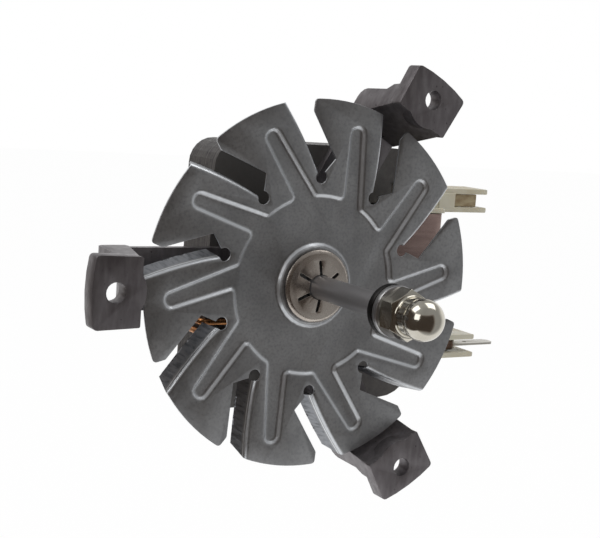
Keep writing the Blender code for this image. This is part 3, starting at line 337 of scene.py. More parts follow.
def rounded_block(low, high, radius):
    """Block between two corners with its twelve edges rounded."""
    form = bmesh.new()
    made = bmesh.ops.create_cube(form, size=1.0)
    size = high - low
    for vert in made["verts"]:
        vert.co = low + Vector((vert.co[axis] + 0.5) * size[axis] for axis in range(3))
    bmesh.ops.bevel(form, geom=form.edges[:] + form.verts[:], offset=radius, segments=3, profile=0.5,
                    affect="EDGES")
    return form


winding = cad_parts["coil_winding"]
winding.material_slots[0].material = wire_turns_finish()

tape_look = tape_finish()
tape = make_piece("wrapped_tape", whole_form("coil_tape"), tape_look, "stator")
round_edges(tape, TAPE_EDGE, 2)
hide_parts("coil_tape")

tape_low, tape_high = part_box("coil_tape")
end_low = Vector((tape_high.x, tape_low.y, tape_low.z)) + TAPE_END_INSET_LOW
end_high = tape_high + TAPE_END_INSET_HIGH
tape_end = make_piece("tape_end", rounded_block(end_low, end_high, TAPE_END_EDGE), tape_look, "stator")


# Spade terminals
# Tinned brass blanks with a crimped barrel, pushed into the housings.
# Brown varnish has set in a lump round the lower one's crimp.

CRIMP_END = 78.5 * MM
VARNISH_FADE = 0.6 * MM
TERMINAL_EDGE = 0.15 * MM
LUMP_LOW = Vector((70.8, 29.0, -30.2)) * MM
LUMP_HIGH = Vector((79.6, 34.6, -25.9)) * MM
LUMP_ROUNDING = 1.2 * MM
TIN_COLOURS = ((0.5, 0.48, 0.43), (0.68, 0.66, 0.6))
VARNISH_COLOURS = ((0.035, 0.018, 0.012), (0.14, 0.075, 0.045))


def tinned_finish():
    """Bright tin with fine scratches along the tab, and brown varnish over the crimp."""
    finish, tree, shader = new_finish("tinned_brass")
    scratches = ranged(tree, grain(tree, 60.0, 6.0, (1.0, 30.0, 30.0)), 0.35, 0.65)
    bright = tinted(tree, scratches, *TIN_COLOURS)
    place = tree.nodes.new("ShaderNodeTexCoord")
    parts = tree.nodes.new("ShaderNodeSeparateXYZ")
    tree.links.new(place.outputs["Object"], parts.inputs["Vector"])
    bare = ranged(tree, parts.outputs["X"], CRIMP_END - VARNISH_FADE, CRIMP_END + VARNISH_FADE)
    varnish = tinted(tree, ranged(tree, grain(tree, 500.0), 0.35, 0.65), *VARNISH_COLOURS)
    tree.links.new(tinted(tree, bare, varnish, bright), shader.inputs["Base Color"])
    tree.links.new(ranged(tree, bare, 0.0, 1.0, 0.2, 1.0), shader.inputs["Metallic"])
    tree.links.new(ranged(tree, scratches, 0.0, 1.0, 0.3, 0.4), shader.inputs["Roughness"])
    roughened(tree, shader, scratches, 0.15, 0.03 * MM)
    return finish


tin = tinned_finish()
for side in ("lower", "upper"):
    terminal = make_piece(f"tinned_spade_{side}", whole_form(f"spade_terminal_{side}"), tin, "stator")
    round_edges(terminal, TERMINAL_EDGE, 2)
    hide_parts(f"spade_terminal_{side}")

lump = make_piece("varnished_crimp", rounded_block(LUMP_LOW, LUMP_HIGH, LUMP_ROUNDING), tin, "stator")
lump.data.shade_smooth()


# Housing walls
# The upper housing's front is closed by a raised cream wall and, beside it, a brown wall whose brown is
# painted shade of the recess behind it.
# Both are nylon, moulded with the bobbin.

WALL_LOW = Vector((63.6, 26.1, 24.3)) * MM
WALL_HIGH = Vector((71.0, 27.4, 30.9)) * MM
WALL_EDGE = 0.25 * MM
# Brown wall over the housing's recess: a sheet whose colour is painted shade.
SHADE_WALL_LOW = Vector((70.9, 27.3, 25.75)) * MM
SHADE_WALL_HIGH = Vector((82.0, 28.5, 30.45)) * MM
SHADE_WALL_EDGE = 0.35 * MM
PAINTED_SHADE_BROWNS = ((0.4, 0.33, 0.2), (0.25, 0.175, 0.09))


def shade_painted_nylon_finish():
    """Nylon in tan and brown speckles; the brown is painted shade."""
    finish, tree, shader = new_finish("shade_painted_nylon")
    speckles = ranged(tree, grain(tree, 260.0, 4.0, (1.0, 1.0, 2.0)), 0.35, 0.65)
    tree.links.new(tinted(tree, speckles, *PAINTED_SHADE_BROWNS), shader.inputs["Base Color"])
    tree.links.new(ranged(tree, speckles, 0.0, 1.0, 0.4, 0.55), shader.inputs["Roughness"])
    roughened(tree, shader, grain(tree, 1500.0), 0.2, 0.05 * MM)
    return finish


for name, low, high, edge, look in (
        ("housing_web", WALL_LOW, WALL_HIGH, WALL_EDGE, nylon),
        ("shade_painted_housing_cover", SHADE_WALL_LOW, SHADE_WALL_HIGH, SHADE_WALL_EDGE, shade_painted_nylon_finish())):
    wall = make_piece(name, rounded_block(low, high, edge), look, "stator")
    wall.data.shade_smooth()


# Brackets
# Two die castings hold the bearings, one in front of the core and one behind it.
# The front one has three arms whose ends stand up and turn out into feet with a hole each.
# The alloy has gone dark and grainy, and its edges are bright, partly from wear and partly from a painted
# highlight.

CASTING_EDGE = 0.28 * MM
CASTING_COLOURS = ((0.145, 0.131, 0.137), (0.215, 0.2, 0.208))
CASTING_STREAK = (0.3, 0.285, 0.292)
CASTING_PIT = (0.05, 0.043, 0.046)
# Colours of the rounded edges: wear, and a painted highlight where the edges would catch the light.
WORN_AND_HIGHLIGHT_COLOURS = ((0.22, 0.21, 0.215), (0.85, 0.83, 0.83))


def casting_finish():
    """Dark die-cast alloy: a satin, faintly brushed skin with brown stains and small pits."""
    finish, tree, shader = new_finish("bracket_casting")
    stains = ranged(tree, grain(tree, 60.0, 5.0), 0.36, 0.7)
    skin = tinted(tree, stains, *CASTING_COLOURS)
    brushed = ranged(tree, grain(tree, 500.0, 6.0, (1.0, 1.0, 0.25)), 0.4, 0.7, 0.0, 0.42)
    streaked = tinted(tree, brushed, skin, CASTING_STREAK)
    pits = grain(tree, 900.0, 5.0)
    pitted = tinted(tree, ranged(tree, pits, 0.66, 0.74), streaked, CASTING_PIT)
    tree.links.new(pitted, shader.inputs["Base Color"])
    shader.inputs["Metallic"].default_value = 0.85
    tree.links.new(ranged(tree, grain(tree, 300.0, 4.0), 0.3, 0.7, 0.36, 0.52), shader.inputs["Roughness"])
    roughened(tree, shader, pits, 0.3, 0.08 * MM)
    return finish


def worn_and_highlit_casting_finish():
    """The alloy's rubbed edges, bright in some places and dark in others: partly wear, partly a painted
    highlight.
    """
    finish, tree, shader = new_finish("bracket_worn_and_highlit_edge")
    # The bright edge colour is partly wear and partly a painted highlight.
    rubbed_and_highlit = ranged(tree, grain(tree, 140.0, 5.0), 0.36, 0.54)
    tree.links.new(tinted(tree, rubbed_and_highlit, *WORN_AND_HIGHLIGHT_COLOURS), shader.inputs["Base Color"])
    shader.inputs["Metallic"].default_value = 0.9
    tree.links.new(ranged(tree, grain(tree, 300.0, 4.0), 0.3, 0.7, 0.28, 0.42), shader.inputs["Roughness"])
    roughened(tree, shader, grain(tree, 900.0), 0.2, 0.05 * MM)
    return finish


casting = casting_finish()
worn_and_highlit_casting = worn_and_highlit_casting_finish()
for side in ("front", "rear"):
    bracket = make_piece(f"cast_{side}_bracket", whole_form(f"{side}_bracket"), casting, "stator")
    bracket.data.materials.append(worn_and_highlit_casting)
    round_edges(bracket, CASTING_EDGE)
    bracket.modifiers["edges"].material = 1
    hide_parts(f"{side}_bracket")


# Bearings
# Each boss holds a sintered bronze bush and a felt ring soaked in oil.
# A pressed cap, zinc-plated, keeps both in.

CAP_EDGE = 0.25 * MM
ZINC_COLOURS = ((0.42, 0.42, 0.43), (0.56, 0.56, 0.56))
BRONZE_COLOURS = ((0.34, 0.22, 0.11), (0.48, 0.33, 0.18))
FELT_COLOURS = ((0.13, 0.11, 0.08), (0.28, 0.25, 0.2))


def plated_finish(name, dark, light, roughness):
    """Plated, sintered or cast surface, a little uneven, with its own colours and roughness."""
    finish, tree, shader = new_finish(name)
    clouds = ranged(tree, grain(tree, 220.0, 5.0), 0.35, 0.68)
    tree.links.new(tinted(tree, clouds, dark, light), shader.inputs["Base Color"])
    shader.inputs["Metallic"].default_value = 1.0
    satin = ranged(tree, grain(tree, 900.0), 0.3, 0.7, roughness, roughness + 0.12)
    tree.links.new(satin, shader.inputs["Roughness"])
    roughened(tree, shader, grain(tree, 1600.0), 0.12, 0.03 * MM)
    return finish


def felt_finish():
    """Oiled felt, dark and fibrous."""
    finish, tree, shader = new_finish("oil_felt")
    fibres = ranged(tree, grain(tree, 1500.0, 6.0, (1.0, 3.0, 1.0)), 0.3, 0.7)
    tree.links.new(tinted(tree, fibres, *FELT_COLOURS), shader.inputs["Base Color"])
    shader.inputs["Roughness"].default_value = 0.95
    return finish


zinc = plated_finish("zinc_plate", *ZINC_COLOURS, 0.28)
bronze = plated_finish("sintered_bronze", *BRONZE_COLOURS, 0.45)
felt = felt_finish()
for side in ("front", "rear"):
    cap = make_piece(f"pressed_cap_{side}", whole_form(f"{side}_retainer"), zinc, "stator")
    round_edges(cap, CAP_EDGE)
    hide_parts(f"{side}_retainer")
    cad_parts[f"{side}_bearing"].material_slots[0].material = bronze
    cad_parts[f"{side}_felt"].material_slots[0].material = felt


# Clamp screws
# Three zinc-plated steel screws with low heads.
# They go from the rear bracket through the core into the front arms.

SCREW_EDGE = 0.2 * MM
SCREW_TURN = 20.0

for number in range(1, 4):
    screw = make_piece(f"plated_screw_{number}", whole_form(f"clamp_screw_{number}"), zinc, "stator")
    round_edges(screw, SCREW_EDGE, 3, SCREW_TURN)
    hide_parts(f"clamp_screw_{number}")


# Rotor
# A turned stack of sheets with an aluminium ring cast on each end, between fibre washers on the shaft.
# A zinc-plated tube in front of it holds the fan at its place.

ROTOR_COLOURS = ((0.11, 0.11, 0.11), (0.22, 0.215, 0.21))
ALUMINIUM_COLOURS = ((0.5, 0.5, 0.5), (0.62, 0.62, 0.62))
FIBRE_COLOURS = ((0.28, 0.15, 0.07), (0.4, 0.24, 0.13))
rotor_steel = lamination_finish("rotor_steel", *ROTOR_COLOURS)
cast_aluminium = plated_finish("cast_aluminium", *ALUMINIUM_COLOURS, 0.42)
fibre = plated_finish("thrust_fibre", *FIBRE_COLOURS, 0.6)
fibre.node_tree.nodes["Principled BSDF"].inputs["Metallic"].default_value = 0.0
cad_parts["rotor_core"].material_slots[0].material = rotor_steel
for side in ("front", "rear"):
    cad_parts[f"end_ring_{side}"].material_slots[0].material = cast_aluminium
    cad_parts[f"thrust_washer_{side}"].material_slots[0].material = fibre
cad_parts["fan_spacer"].material_slots[0].material = zinc


# Shaft
# Round steel bar, ground to size and chamfered at both ends.
# Grinding has left faint rings round it.

SHAFT_CHAMFER = 0.7 * MM
SHAFT_EDGE = 0.12 * MM
SHAFT_STEPS = 96
SHAFT_COLOURS = ((0.43, 0.42, 0.43), (0.47, 0.46, 0.465))


def ground_finish():
    """Ground steel with fine rings round the shaft's axis."""
    finish, tree, shader = new_finish("shaft_steel")
    rings = ranged(tree, grain(tree, 1.0, 3.0, (30.0, 1500.0, 30.0)), 0.3, 0.7)
    tree.links.new(tinted(tree, rings, *SHAFT_COLOURS), shader.inputs["Base Color"])
    shader.inputs["Metallic"].default_value = 0.9
    tree.links.new(ranged(tree, rings, 0.0, 1.0, 0.32, 0.38), shader.inputs["Roughness"])
    roughened(tree, shader, rings, 0.05, 0.02 * MM)
    return finish


def turned_form(profile, steps):
    """Closed mesh turned about the shaft from (radius, place along Y) points, axis to axis."""
    form = bmesh.new()
    rows = []
    for radius, along in profile:
        if radius == 0.0:
            rows.append([form.verts.new((0.0, along, 0.0))] * steps)
            continue
        row = []
        for step in range(steps):
            angle = 2 * math.pi * step / steps
            row.append(form.verts.new((radius * math.cos(angle), along, radius * math.sin(angle))))
        rows.append(row)
    for row, following in zip(rows, rows[1:] + rows[:1]):
        for step in range(steps):
            after = (step + 1) % steps
            corners = list(dict.fromkeys([row[step], row[after], following[after], following[step]]))
            if len(corners) > 2:
                form.faces.new(corners)
    return form


shaft_low, shaft_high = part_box("shaft")
shaft_radius = shaft_high.x
end_radius = shaft_radius - SHAFT_CHAMFER
shaft_profile = [(0.0, shaft_low.y), (end_radius, shaft_low.y), (shaft_radius, shaft_low.y + SHAFT_CHAMFER),
                 (shaft_radius, shaft_high.y - SHAFT_CHAMFER), (end_radius, shaft_high.y), (0.0, shaft_high.y)]
shaft = make_piece("ground_shaft", turned_form(shaft_profile, SHAFT_STEPS), ground_finish(), "rotor")
round_edges(shaft, SHAFT_EDGE, 2)
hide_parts("shaft")


# Cooling fan
# One disc of galvanised sheet, cut and pressed in one stroke: ten blades, a keyhole at each root,
# ten raised ribs that meet in a star, a boss ring, and a vane bent back along one side of each blade.
# The pressed walls and bends carry a painted highlight, and the vanes are creased near them.

FAN_PHASE = 127.1
FAN_BLADES = 10
FOLD_SLANT = 31.4
PRESSED_EDGE = 0.55 * MM
CUT_EDGE = 0.12 * MM
STEEP_TURN = 62.0
PRESSED_TURN = 28.0
STAR_DEPTH = 0.5 * MM
STAR_RISE = 1.2 * MM
BEND_DEPTH = 1.2 * MM
CREASE_DEPTH = 0.06 * MM
CREASE_LENGTH = 1.5 * MM
CREASE_FADE = 4.0
VANE_ROW = 0.9 * MM
SHEET_ZINC = ((0.31, 0.313, 0.32), (0.4, 0.403, 0.41))
SHEET_SPECK = (0.23, 0.233, 0.24)
# Painted highlight on the pressed walls between the star's top and the blades' front.
WALL_HIGHLIGHT_ZINC = (0.76, 0.785, 0.815)
# Bare steel on the cut edges, and a painted highlight along the start of each vane's bend.
CUT_STEEL_AND_FOLD_HIGHLIGHT = (0.72, 0.74, 0.76)
VANE_COLOURS = ((0.27, 0.28, 0.3), (0.13, 0.137, 0.15))


def height_band(tree, height, low, high, soft):
    """1 where the height lies between two levels, falling to 0 over a soft margin inside them."""
    rise = ranged(tree, height, low, low + soft)
    fall = ranged(tree, height, high - soft, high, 1.0, 0.0)
    both = tree.nodes.new("ShaderNodeMath")
    both.operation = "MULTIPLY"
    tree.links.new(rise, both.inputs[0])
    tree.links.new(fall, both.inputs[1])
    return both.outputs[0]


def galvanised_finish(star_top, blade_front):
    """Galvanised sheet: mottled grey zinc, with painted highlights on pressed walls and bends, bare cut edges
    and scored vanes.
    """
    finish, tree, shader = new_finish("galvanised_sheet")
    clouds = ranged(tree, grain(tree, 90.0, 5.0), 0.35, 0.68)
    specks = ranged(tree, grain(tree, 1100.0, 4.0), 0.44, 0.7)
    zinc_skin = tinted(tree, clouds, *SHEET_ZINC)
    speckled = tinted(tree, ranged(tree, specks, 0.0, 1.0, 0.0, 0.55), zinc_skin, SHEET_SPECK)
    place = tree.nodes.new("ShaderNodeTexCoord")
    parts = tree.nodes.new("ShaderNodeSeparateXYZ")
    tree.links.new(place.outputs["Object"], parts.inputs["Vector"])
    height = parts.outputs["Y"]
    # Painted highlight: the walls between the star's top and the blades' front are coloured bright.
    walls = height_band(tree, height, star_top + 0.08 * MM, blade_front - 0.08 * MM, 0.25 * MM)
    wall_highlighted = tinted(tree, ranged(tree, walls, 0.0, 1.0, 0.0, 0.8), speckled, WALL_HIGHLIGHT_ZINC)
    # One band gives the bare cut edges and a painted highlight on the first part of each bend.
    cut_and_fold_highlight = height_band(tree, height, blade_front + 0.06 * MM, blade_front + 0.74 * MM, 0.12 * MM)
    skin = tinted(tree, cut_and_fold_highlight, wall_highlighted, CUT_STEEL_AND_FOLD_HIGHLIGHT)
    vane = ranged(tree, height, blade_front + 0.8 * MM, blade_front + 1.8 * MM)
    scores = ranged(tree, grain(tree, 1.0, 4.0, (900.0, 160.0, 900.0)), 0.45, 0.7)
    scored = tinted(tree, scores, *VANE_COLOURS)
    tree.links.new(tinted(tree, vane, skin, scored), shader.inputs["Base Color"])
    shader.inputs["Metallic"].default_value = 0.95
    tree.links.new(ranged(tree, grain(tree, 700.0, 4.0), 0.3, 0.7, 0.34, 0.46), shader.inputs["Roughness"])
    roughened(tree, shader, grain(tree, 1000.0, 5.0), 0.3, 0.07 * MM)
    return finish


def vane_frame(blade):
    """Direction along a blade's vane and the direction square to it, both in the plane of the disc."""
    turn = math.radians(FAN_PHASE + FOLD_SLANT) + blade * 2 * math.pi / FAN_BLADES
    return Vector((math.cos(turn), 0.0, math.sin(turn))), Vector((math.sin(turn), 0.0, -math.cos(turn)))


def nearest_blade(place):
    """Number of the blade whose vane is nearest a place."""
    around = math.atan2(place.z, place.x) - math.radians(FAN_PHASE)
    return round(around / (2 * math.pi / FAN_BLADES))


def creased_vanes(form, flat_end):
    """Cut the fan's vanes into small faces and crease them across their length, most beside the bends."""
    vanes = {}
    for face in form.faces:
        middle = face.calc_center_median()
        if middle.y > flat_end:
            vanes.setdefault(nearest_blade(middle), []).append(face)
    for blade, faces in vanes.items():
        along, _ = vane_frame(blade)
        for direction, pitch in ((along, CREASE_LENGTH / 3), (Vector((0.0, 1.0, 0.0)), VANE_ROW)):
            span = [vert.co.dot(direction) for face in faces for vert in face.verts]
            place = min(span) + pitch
            while place < max(span) - 0.3 * pitch:
                edges = {edge for face in faces for edge in face.edges}
                verts = {vert for face in faces for vert in face.verts}
                made = bmesh.ops.bisect_plane(form, geom=[*faces, *edges, *verts], dist=0.01 * MM,
                                              plane_co=direction * place, plane_no=direction)
                faces = [item for item in made["geom"] if isinstance(item, bmesh.types.BMFace)]
                place += pitch
    for vert in form.verts:
        if vert.co.y <= flat_end:
            continue
        blade = nearest_blade(vert.co)
        along, across = vane_frame(blade)
        depth = (vert.co.y - flat_end) / MM
        fade = min(1.0, depth / 0.8) * (0.35 + 0.65 * math.exp(-depth / CREASE_FADE))
        run = vert.co.dot(along) / CREASE_LENGTH + 0.12 * depth
        patch = 0.5 + 0.5 * math.sin(run * 0.83 + blade * 2.1)
        wave = math.sin(2 * math.pi * run) + 0.8 * math.sin(2 * math.pi * run * 0.43 + blade * 1.3)
        vert.co += across * (CREASE_DEPTH * fade * patch * wave)


def weigh_bends(form, flat_end):
    """Give each edge of the fan its rounding: full on the pressed bends and little on cut edges."""
    share = form.edges.layers.float.new("bevel_weight_edge")
    for edge in form.edges:
        turn = math.degrees(edge.calc_face_angle(0.0))
        if turn > STEEP_TURN:
            edge[share] = CUT_EDGE / PRESSED_EDGE
        elif turn > PRESSED_TURN and max(vert.co.y for vert in edge.verts) < flat_end:
            edge[share] = 1.0


fan_form = whole_form("cooling_fan")
star_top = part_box("cooling_fan")[0].y + STAR_DEPTH
blade_front = star_top + STAR_RISE
bend_end = blade_front + BEND_DEPTH
creased_vanes(fan_form, bend_end)
weigh_bends(fan_form, bend_end)
fan = make_piece("pressed_fan", fan_form, galvanised_finish(star_top, blade_front), "rotor")
fan.data.shade_smooth()
bends = fan.modifiers.new("bends", "BEVEL")
bends.limit_method = "WEIGHT"
bends.width = PRESSED_EDGE
bends.segments = 3
bends.use_clamp_overlap = False
bends.harden_normals = True
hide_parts("cooling_fan")


# Star washer
# Dished spring steel, pushed on the shaft against the fan.
# Its six slots leave teeth that bite into the shaft.

STAR_EDGE = 0.15 * MM
SPRING_COLOURS = ((0.42, 0.375, 0.335), (0.56, 0.51, 0.46))


def spring_finish():
    """Polished stainless steel, warm brown where it was tempered."""
    finish, tree, shader = new_finish("stainless_spring")
    heat = ranged(tree, grain(tree, 120.0, 3.0), 0.35, 0.7)
    tree.links.new(tinted(tree, heat, *SPRING_COLOURS), shader.inputs["Base Color"])
    shader.inputs["Metallic"].default_value = 1.0
    tree.links.new(ranged(tree, grain(tree, 900.0), 0.3, 0.7, 0.22, 0.34), shader.inputs["Roughness"])
    roughened(tree, shader, grain(tree, 1800.0), 0.1, 0.02 * MM)
    return finish


star = make_piece("spring_star", whole_form("star_washer"), spring_finish(), "rotor")
round_edges(star, STAR_EDGE, 2)
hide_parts("star_washer")


# Washers
# Two plain steel washers on the shaft's end, under the nut.
# The rear one is blackened, and the front one is plated with zinc.

WASHER_EDGE = 0.3 * MM
WASHER_STEPS = 96
WASHER_SHARP_TURN = math.radians(35)
THREAD_GAP = 0.3 * MM
BLACK_COLOURS = ((0.02, 0.02, 0.02), (0.045, 0.043, 0.042))


def washer_profile(node):
    """Turned outline of a washer, with both outer edges rounded."""
    low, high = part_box(node)
    bore = shaft_radius + THREAD_GAP
    rim = high.x - WASHER_EDGE
    corner = 0.3 * WASHER_EDGE
    return [(bore, low.y), (rim, low.y), (high.x - corner, low.y + corner), (high.x, low.y + WASHER_EDGE),
            (high.x, high.y - WASHER_EDGE), (high.x - corner, high.y - corner), (rim, high.y), (bore, high.y)]


black_steel = plated_finish("blackened_steel", *BLACK_COLOURS, 0.4)
for name, node, look, slot in (("black_washer", "washer_rear", black_steel, "blackened_steel"),
                               ("plated_washer", "washer_front", zinc, "zinc_plated_steel")):
    washer = make_piece(name, turned_form(washer_profile(node), WASHER_STEPS), look, "rotor")
    washer.data.shade_smooth()
    washer.data.set_sharp_from_angle(angle=WASHER_SHARP_TURN)
    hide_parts(node)


# Dome nut
# Brass, turned from hexagon bar and plated with nickel.
# It has chamfered flats, a short neck and a polished dome.

NUT_FLATS = 14.0 * MM
NUT_PHASE = math.radians(30.0)
NUT_HEX_HEIGHT = 6.5 * MM
NUT_NECK_RADIUS = 6.05 * MM
NUT_DOME_RADIUS = 6.4 * MM
NUT_CROWN = 2.0 * MM
NUT_CHAMFER = 0.75 * MM
NUT_CHAMFER_STEPS = 16
NUT_FACE_INSET = 0.15 * MM
NUT_FILLET = 0.9 * MM
NUT_FILLET_STEPS = 8
NUT_FILLET_SPREAD = 0.8
NUT_NECK_LENGTH = 2.6 * MM
NUT_DOME_START = -20.0
NUT_DOME_STEPS = 44
NUT_STEPS = 180
NUT_WELD_REACH = 0.004 * MM
NUT_SHARP_TURN = math.radians(24)
SIXTH = math.radians(60)
NICKEL_COLOURS = ((0.54, 0.51, 0.44), (0.62, 0.59, 0.52))


def nickel_finish():
    """Warm polished nickel plate."""
    finish, tree, shader = new_finish("nickel_plate")
    clouds = ranged(tree, grain(tree, 150.0, 3.0), 0.35, 0.7)
    tree.links.new(tinted(tree, clouds, *NICKEL_COLOURS), shader.inputs["Base Color"])
    shader.inputs["Metallic"].default_value = 1.0
    tree.links.new(ranged(tree, grain(tree, 500.0), 0.3, 0.7, 0.11, 0.17), shader.inputs["Roughness"])
    roughened(tree, shader, grain(tree, 400.0), 0.05, 0.03 * MM)
    return finish


def nut_profile(height):
    """Turned outline of the nut, from its bore round the outside to the closed end."""
    corner = NUT_FLATS / 2 / math.cos(SIXTH / 2)
    face = NUT_FLATS / 2 - NUT_FACE_INSET
    bore = shaft_radius + THREAD_GAP
    points = [(bore, 0.0), (face, 0.0)]
    for step in range(1, NUT_CHAMFER_STEPS + 1):
        share = step / NUT_CHAMFER_STEPS
        points.append((face + (corner - face) * share, NUT_CHAMFER * share))
    for step in range(NUT_CHAMFER_STEPS, -1, -1):
        share = step / NUT_CHAMFER_STEPS
        points.append((face + (corner - face) * share, NUT_HEX_HEIGHT - NUT_CHAMFER * share))
    for step in range(NUT_FILLET_STEPS + 1):
        angle = math.radians(90.0 * step / NUT_FILLET_STEPS)
        points.append((NUT_NECK_RADIUS + NUT_FILLET * (1 - math.sin(angle)) * NUT_FILLET_SPREAD,
                       NUT_HEX_HEIGHT + NUT_FILLET * (1 - math.cos(angle))))
    centre = height - NUT_DOME_RADIUS
    points.append((NUT_NECK_RADIUS, centre - NUT_NECK_LENGTH))
    for step in range(NUT_DOME_STEPS + 1):
        angle = math.radians(NUT_DOME_START + (90.0 - NUT_DOME_START) * step / NUT_DOME_STEPS)
        radius = NUT_DOME_RADIUS * math.cos(angle) if step < NUT_DOME_STEPS else 0.0
        points.append((radius, centre + NUT_DOME_RADIUS * math.sin(angle)))
    return [*points, (0.0, height - NUT_CROWN), (bore, height - NUT_CROWN)]


nut_low, nut_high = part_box("dome_nut")
nut_outline = nut_profile(nut_high.y - nut_low.y)
nut_form = turned_form([(radius, nut_high.y - rise) for radius, rise in nut_outline], NUT_STEPS)
for vert in nut_form.verts:
    radius = math.hypot(vert.co.x, vert.co.z)
    angle = math.atan2(vert.co.z, vert.co.x) - NUT_PHASE - SIXTH / 2
    reach = NUT_FLATS / 2 / math.cos(angle - SIXTH * round(angle / SIXTH))
    if radius > reach:
        vert.co.x *= reach / radius
        vert.co.z *= reach / radius
bmesh.ops.remove_doubles(nut_form, verts=nut_form.verts, dist=NUT_WELD_REACH)
nut = make_piece("polished_nut", nut_form, nickel_finish(), "rotor")
nut.data.shade_smooth()
nut.data.set_sharp_from_angle(angle=NUT_SHARP_TURN)
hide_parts("dome_nut")


# Studio
# A white floor and backdrop, three soft lamps, and the camera at the photograph's place.
# In reflections the room in front is darker, most of all near the camera, so metal has something to show.

FLOOR_DROP = 60 * MM
FLOOR_FRONT = 0.1
FLOOR_LEFT = 0.12
FLOOR_REACH = 3.0
FLOOR_GLOW = 0.97
CAMERA_PLACE = Vector((-220.9, -346.1, 62.8)) * MM
CAMERA_RIGHT = Vector((0.8577, -0.5090, 0.0731))
CAMERA_UP = Vector((0.0078, 0.1550, 0.9879))
CAMERA_FORWARD = Vector((0.5142, 0.8467, -0.1368))
CAMERA_LENS = 75.05
SENSOR_WIDTH = 36.0
ROOM_TOP = Vector((0.0, 0.0, 1.0))
ROOM_FRONT = Vector((0.0, -1.0, 0.1))
ROOM_CORNER = Vector((-0.914, -0.407, 0.0))
SOFT_LIGHT = 0.62
BACK_LIGHT = 1.0
CEILING_LIGHT = 0.45
FRONT_LIGHT = 0.36
DARK_WALL_LIGHT = 0.06
DARK_WALL_FOOT = -0.85
DARK_WALL_TOP = 0.62
DARK_WALL_BROWN = (1.0, 0.78, 0.64)
WHITE = (1.0, 1.0, 1.0)
LAMP_DISTANCE = 0.85
LAMP_GLOW = 1.9
LAMPS = (("high_left_lamp", Vector((-0.53, 0.23, 0.81)), 0.45),
         ("left_lamp", Vector((-0.88, -0.3, 0.36)), 0.42),
         ("high_right_lamp", Vector((0.46, -0.05, 0.885)), 0.5))


def most_of(tree, first, second):
    """The greater of two values."""
    greater = tree.nodes.new("ShaderNodeMath")
    greater.operation = "MAXIMUM"
    tree.links.new(first, greater.inputs[0])
    tree.links.new(second, greater.inputs[1])
    return greater.outputs[0]


def stage_floor():
    """White floor that keeps a faint shadow of the motor."""
    floor_mesh = bpy.data.meshes.new("floor")
    height = cad_box[0].z - FLOOR_DROP
    corners = [(-FLOOR_LEFT, -FLOOR_FRONT, height), (FLOOR_REACH, -FLOOR_FRONT, height),
               (FLOOR_REACH, FLOOR_REACH, height), (-FLOOR_LEFT, FLOOR_REACH, height)]
    floor_mesh.from_pydata(corners, [], [(0, 1, 2, 3)])
    floor = bpy.data.objects.new("floor", floor_mesh)
    bpy.context.scene.collection.objects.link(floor)
    finish, tree, shader = new_finish("floor_white")
    shader.inputs["Base Color"].default_value = (0.95, 0.95, 0.95, 1.0)
    shader.inputs["Roughness"].default_value = 0.9
    rays = tree.nodes.new("ShaderNodeLightPath")
    glow = tree.nodes.new("ShaderNodeEmission")
    mix = tree.nodes.new("ShaderNodeMixShader")
    seen = most_of(tree, rays.outputs["Is Camera Ray"], rays.outputs["Is Glossy Ray"])
    seen = most_of(tree, seen, rays.outputs["Is Transmission Ray"])
    tree.links.new(mixed_level(tree, seen, 0.0, FLOOR_GLOW), mix.inputs["Fac"])
    tree.links.new(shader.outputs["BSDF"], mix.inputs[1])
    tree.links.new(glow.outputs["Emission"], mix.inputs[2])
    tree.links.new(mix.outputs["Shader"], tree.nodes["Material Output"].inputs["Surface"])
    floor_mesh.materials.append(finish)


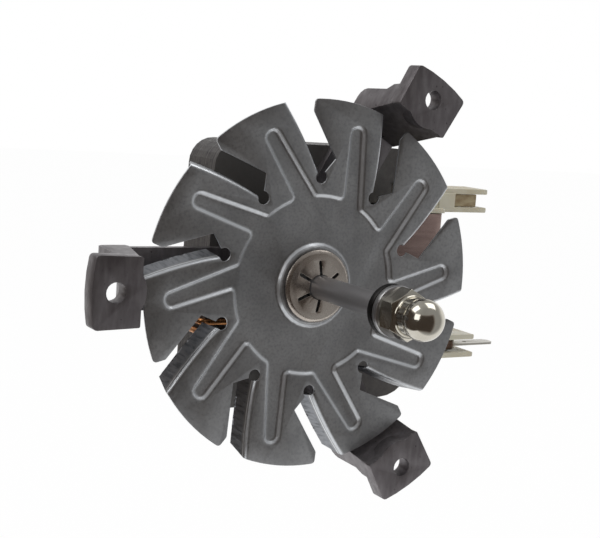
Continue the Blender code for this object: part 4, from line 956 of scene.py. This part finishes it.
def studio_world():
    """White backdrop, and a room whose front is darker in reflections, most of all by the camera."""
    world = bpy.data.worlds.new("studio")
    bpy.context.scene.world = world
    world.use_nodes = True
    tree = world.node_tree
    place = tree.nodes.new("ShaderNodeTexCoord")

    def towards(direction, start, end):
        facing = tree.nodes.new("ShaderNodeVectorMath")
        facing.operation = "DOT_PRODUCT"
        facing.inputs[1].default_value = direction.normalized()
        tree.links.new(place.outputs["Generated"], facing.inputs[0])
        return ranged(tree, facing.outputs["Value"], start, end)

    back = mixed_level(tree, towards(ROOM_TOP, 0.3, 0.5), BACK_LIGHT, CEILING_LIGHT)
    front = mixed_level(tree, towards(ROOM_FRONT, 0.0, 0.4), back, FRONT_LIGHT)
    parts = tree.nodes.new("ShaderNodeSeparateXYZ")
    tree.links.new(place.outputs["Generated"], parts.inputs["Vector"])
    band = height_band(tree, parts.outputs["Z"], DARK_WALL_FOOT, DARK_WALL_TOP, 0.12)
    wall = mixed_level(tree, towards(ROOM_CORNER, -0.1, 0.1), 0.0, band)
    reflected = mixed_level(tree, wall, front, DARK_WALL_LIGHT)
    rays = tree.nodes.new("ShaderNodeLightPath")
    shiny = most_of(tree, rays.outputs["Is Glossy Ray"], rays.outputs["Is Transmission Ray"])
    unseen = mixed_level(tree, shiny, SOFT_LIGHT, reflected)
    background = tree.nodes["Background"]
    brown = mixed_level(tree, shiny, 0.0, wall)
    tree.links.new(tinted(tree, brown, WHITE, DARK_WALL_BROWN), background.inputs["Color"])
    strength = mixed_level(tree, rays.outputs["Is Camera Ray"], unseen, 1.0)
    tree.links.new(strength, background.inputs["Strength"])


def soft_lamp(name, direction, size):
    """Square soft lamp that faces the motor, by its direction from it."""
    lamp = bpy.data.lights.new(name, "AREA")
    lamp.size = size
    lamp.energy = LAMP_GLOW * math.pi * size * size
    item = bpy.data.objects.new(name, lamp)
    item.location = direction.normalized() * LAMP_DISTANCE
    item.rotation_euler = (-item.location).to_track_quat("-Z", "Y").to_euler()
    bpy.context.scene.collection.objects.link(item)


stage_floor()
studio_world()
for name, direction, size in LAMPS:
    soft_lamp(name, direction, size)

camera = bpy.data.cameras.new("camera")
camera.lens = CAMERA_LENS
camera.sensor_width = SENSOR_WIDTH
camera.sensor_fit = "HORIZONTAL"
camera.clip_start = 0.01
camera_item = bpy.data.objects.new("camera", camera)
bpy.context.scene.collection.objects.link(camera_item)
turn = Matrix((CAMERA_RIGHT, CAMERA_UP, -CAMERA_FORWARD)).transposed().to_4x4()
camera_item.matrix_world = Matrix.Translation(CAMERA_PLACE) @ turn
bpy.context.scene.camera = camera_item
bpy.context.scene.view_settings.view_transform = "Standard"
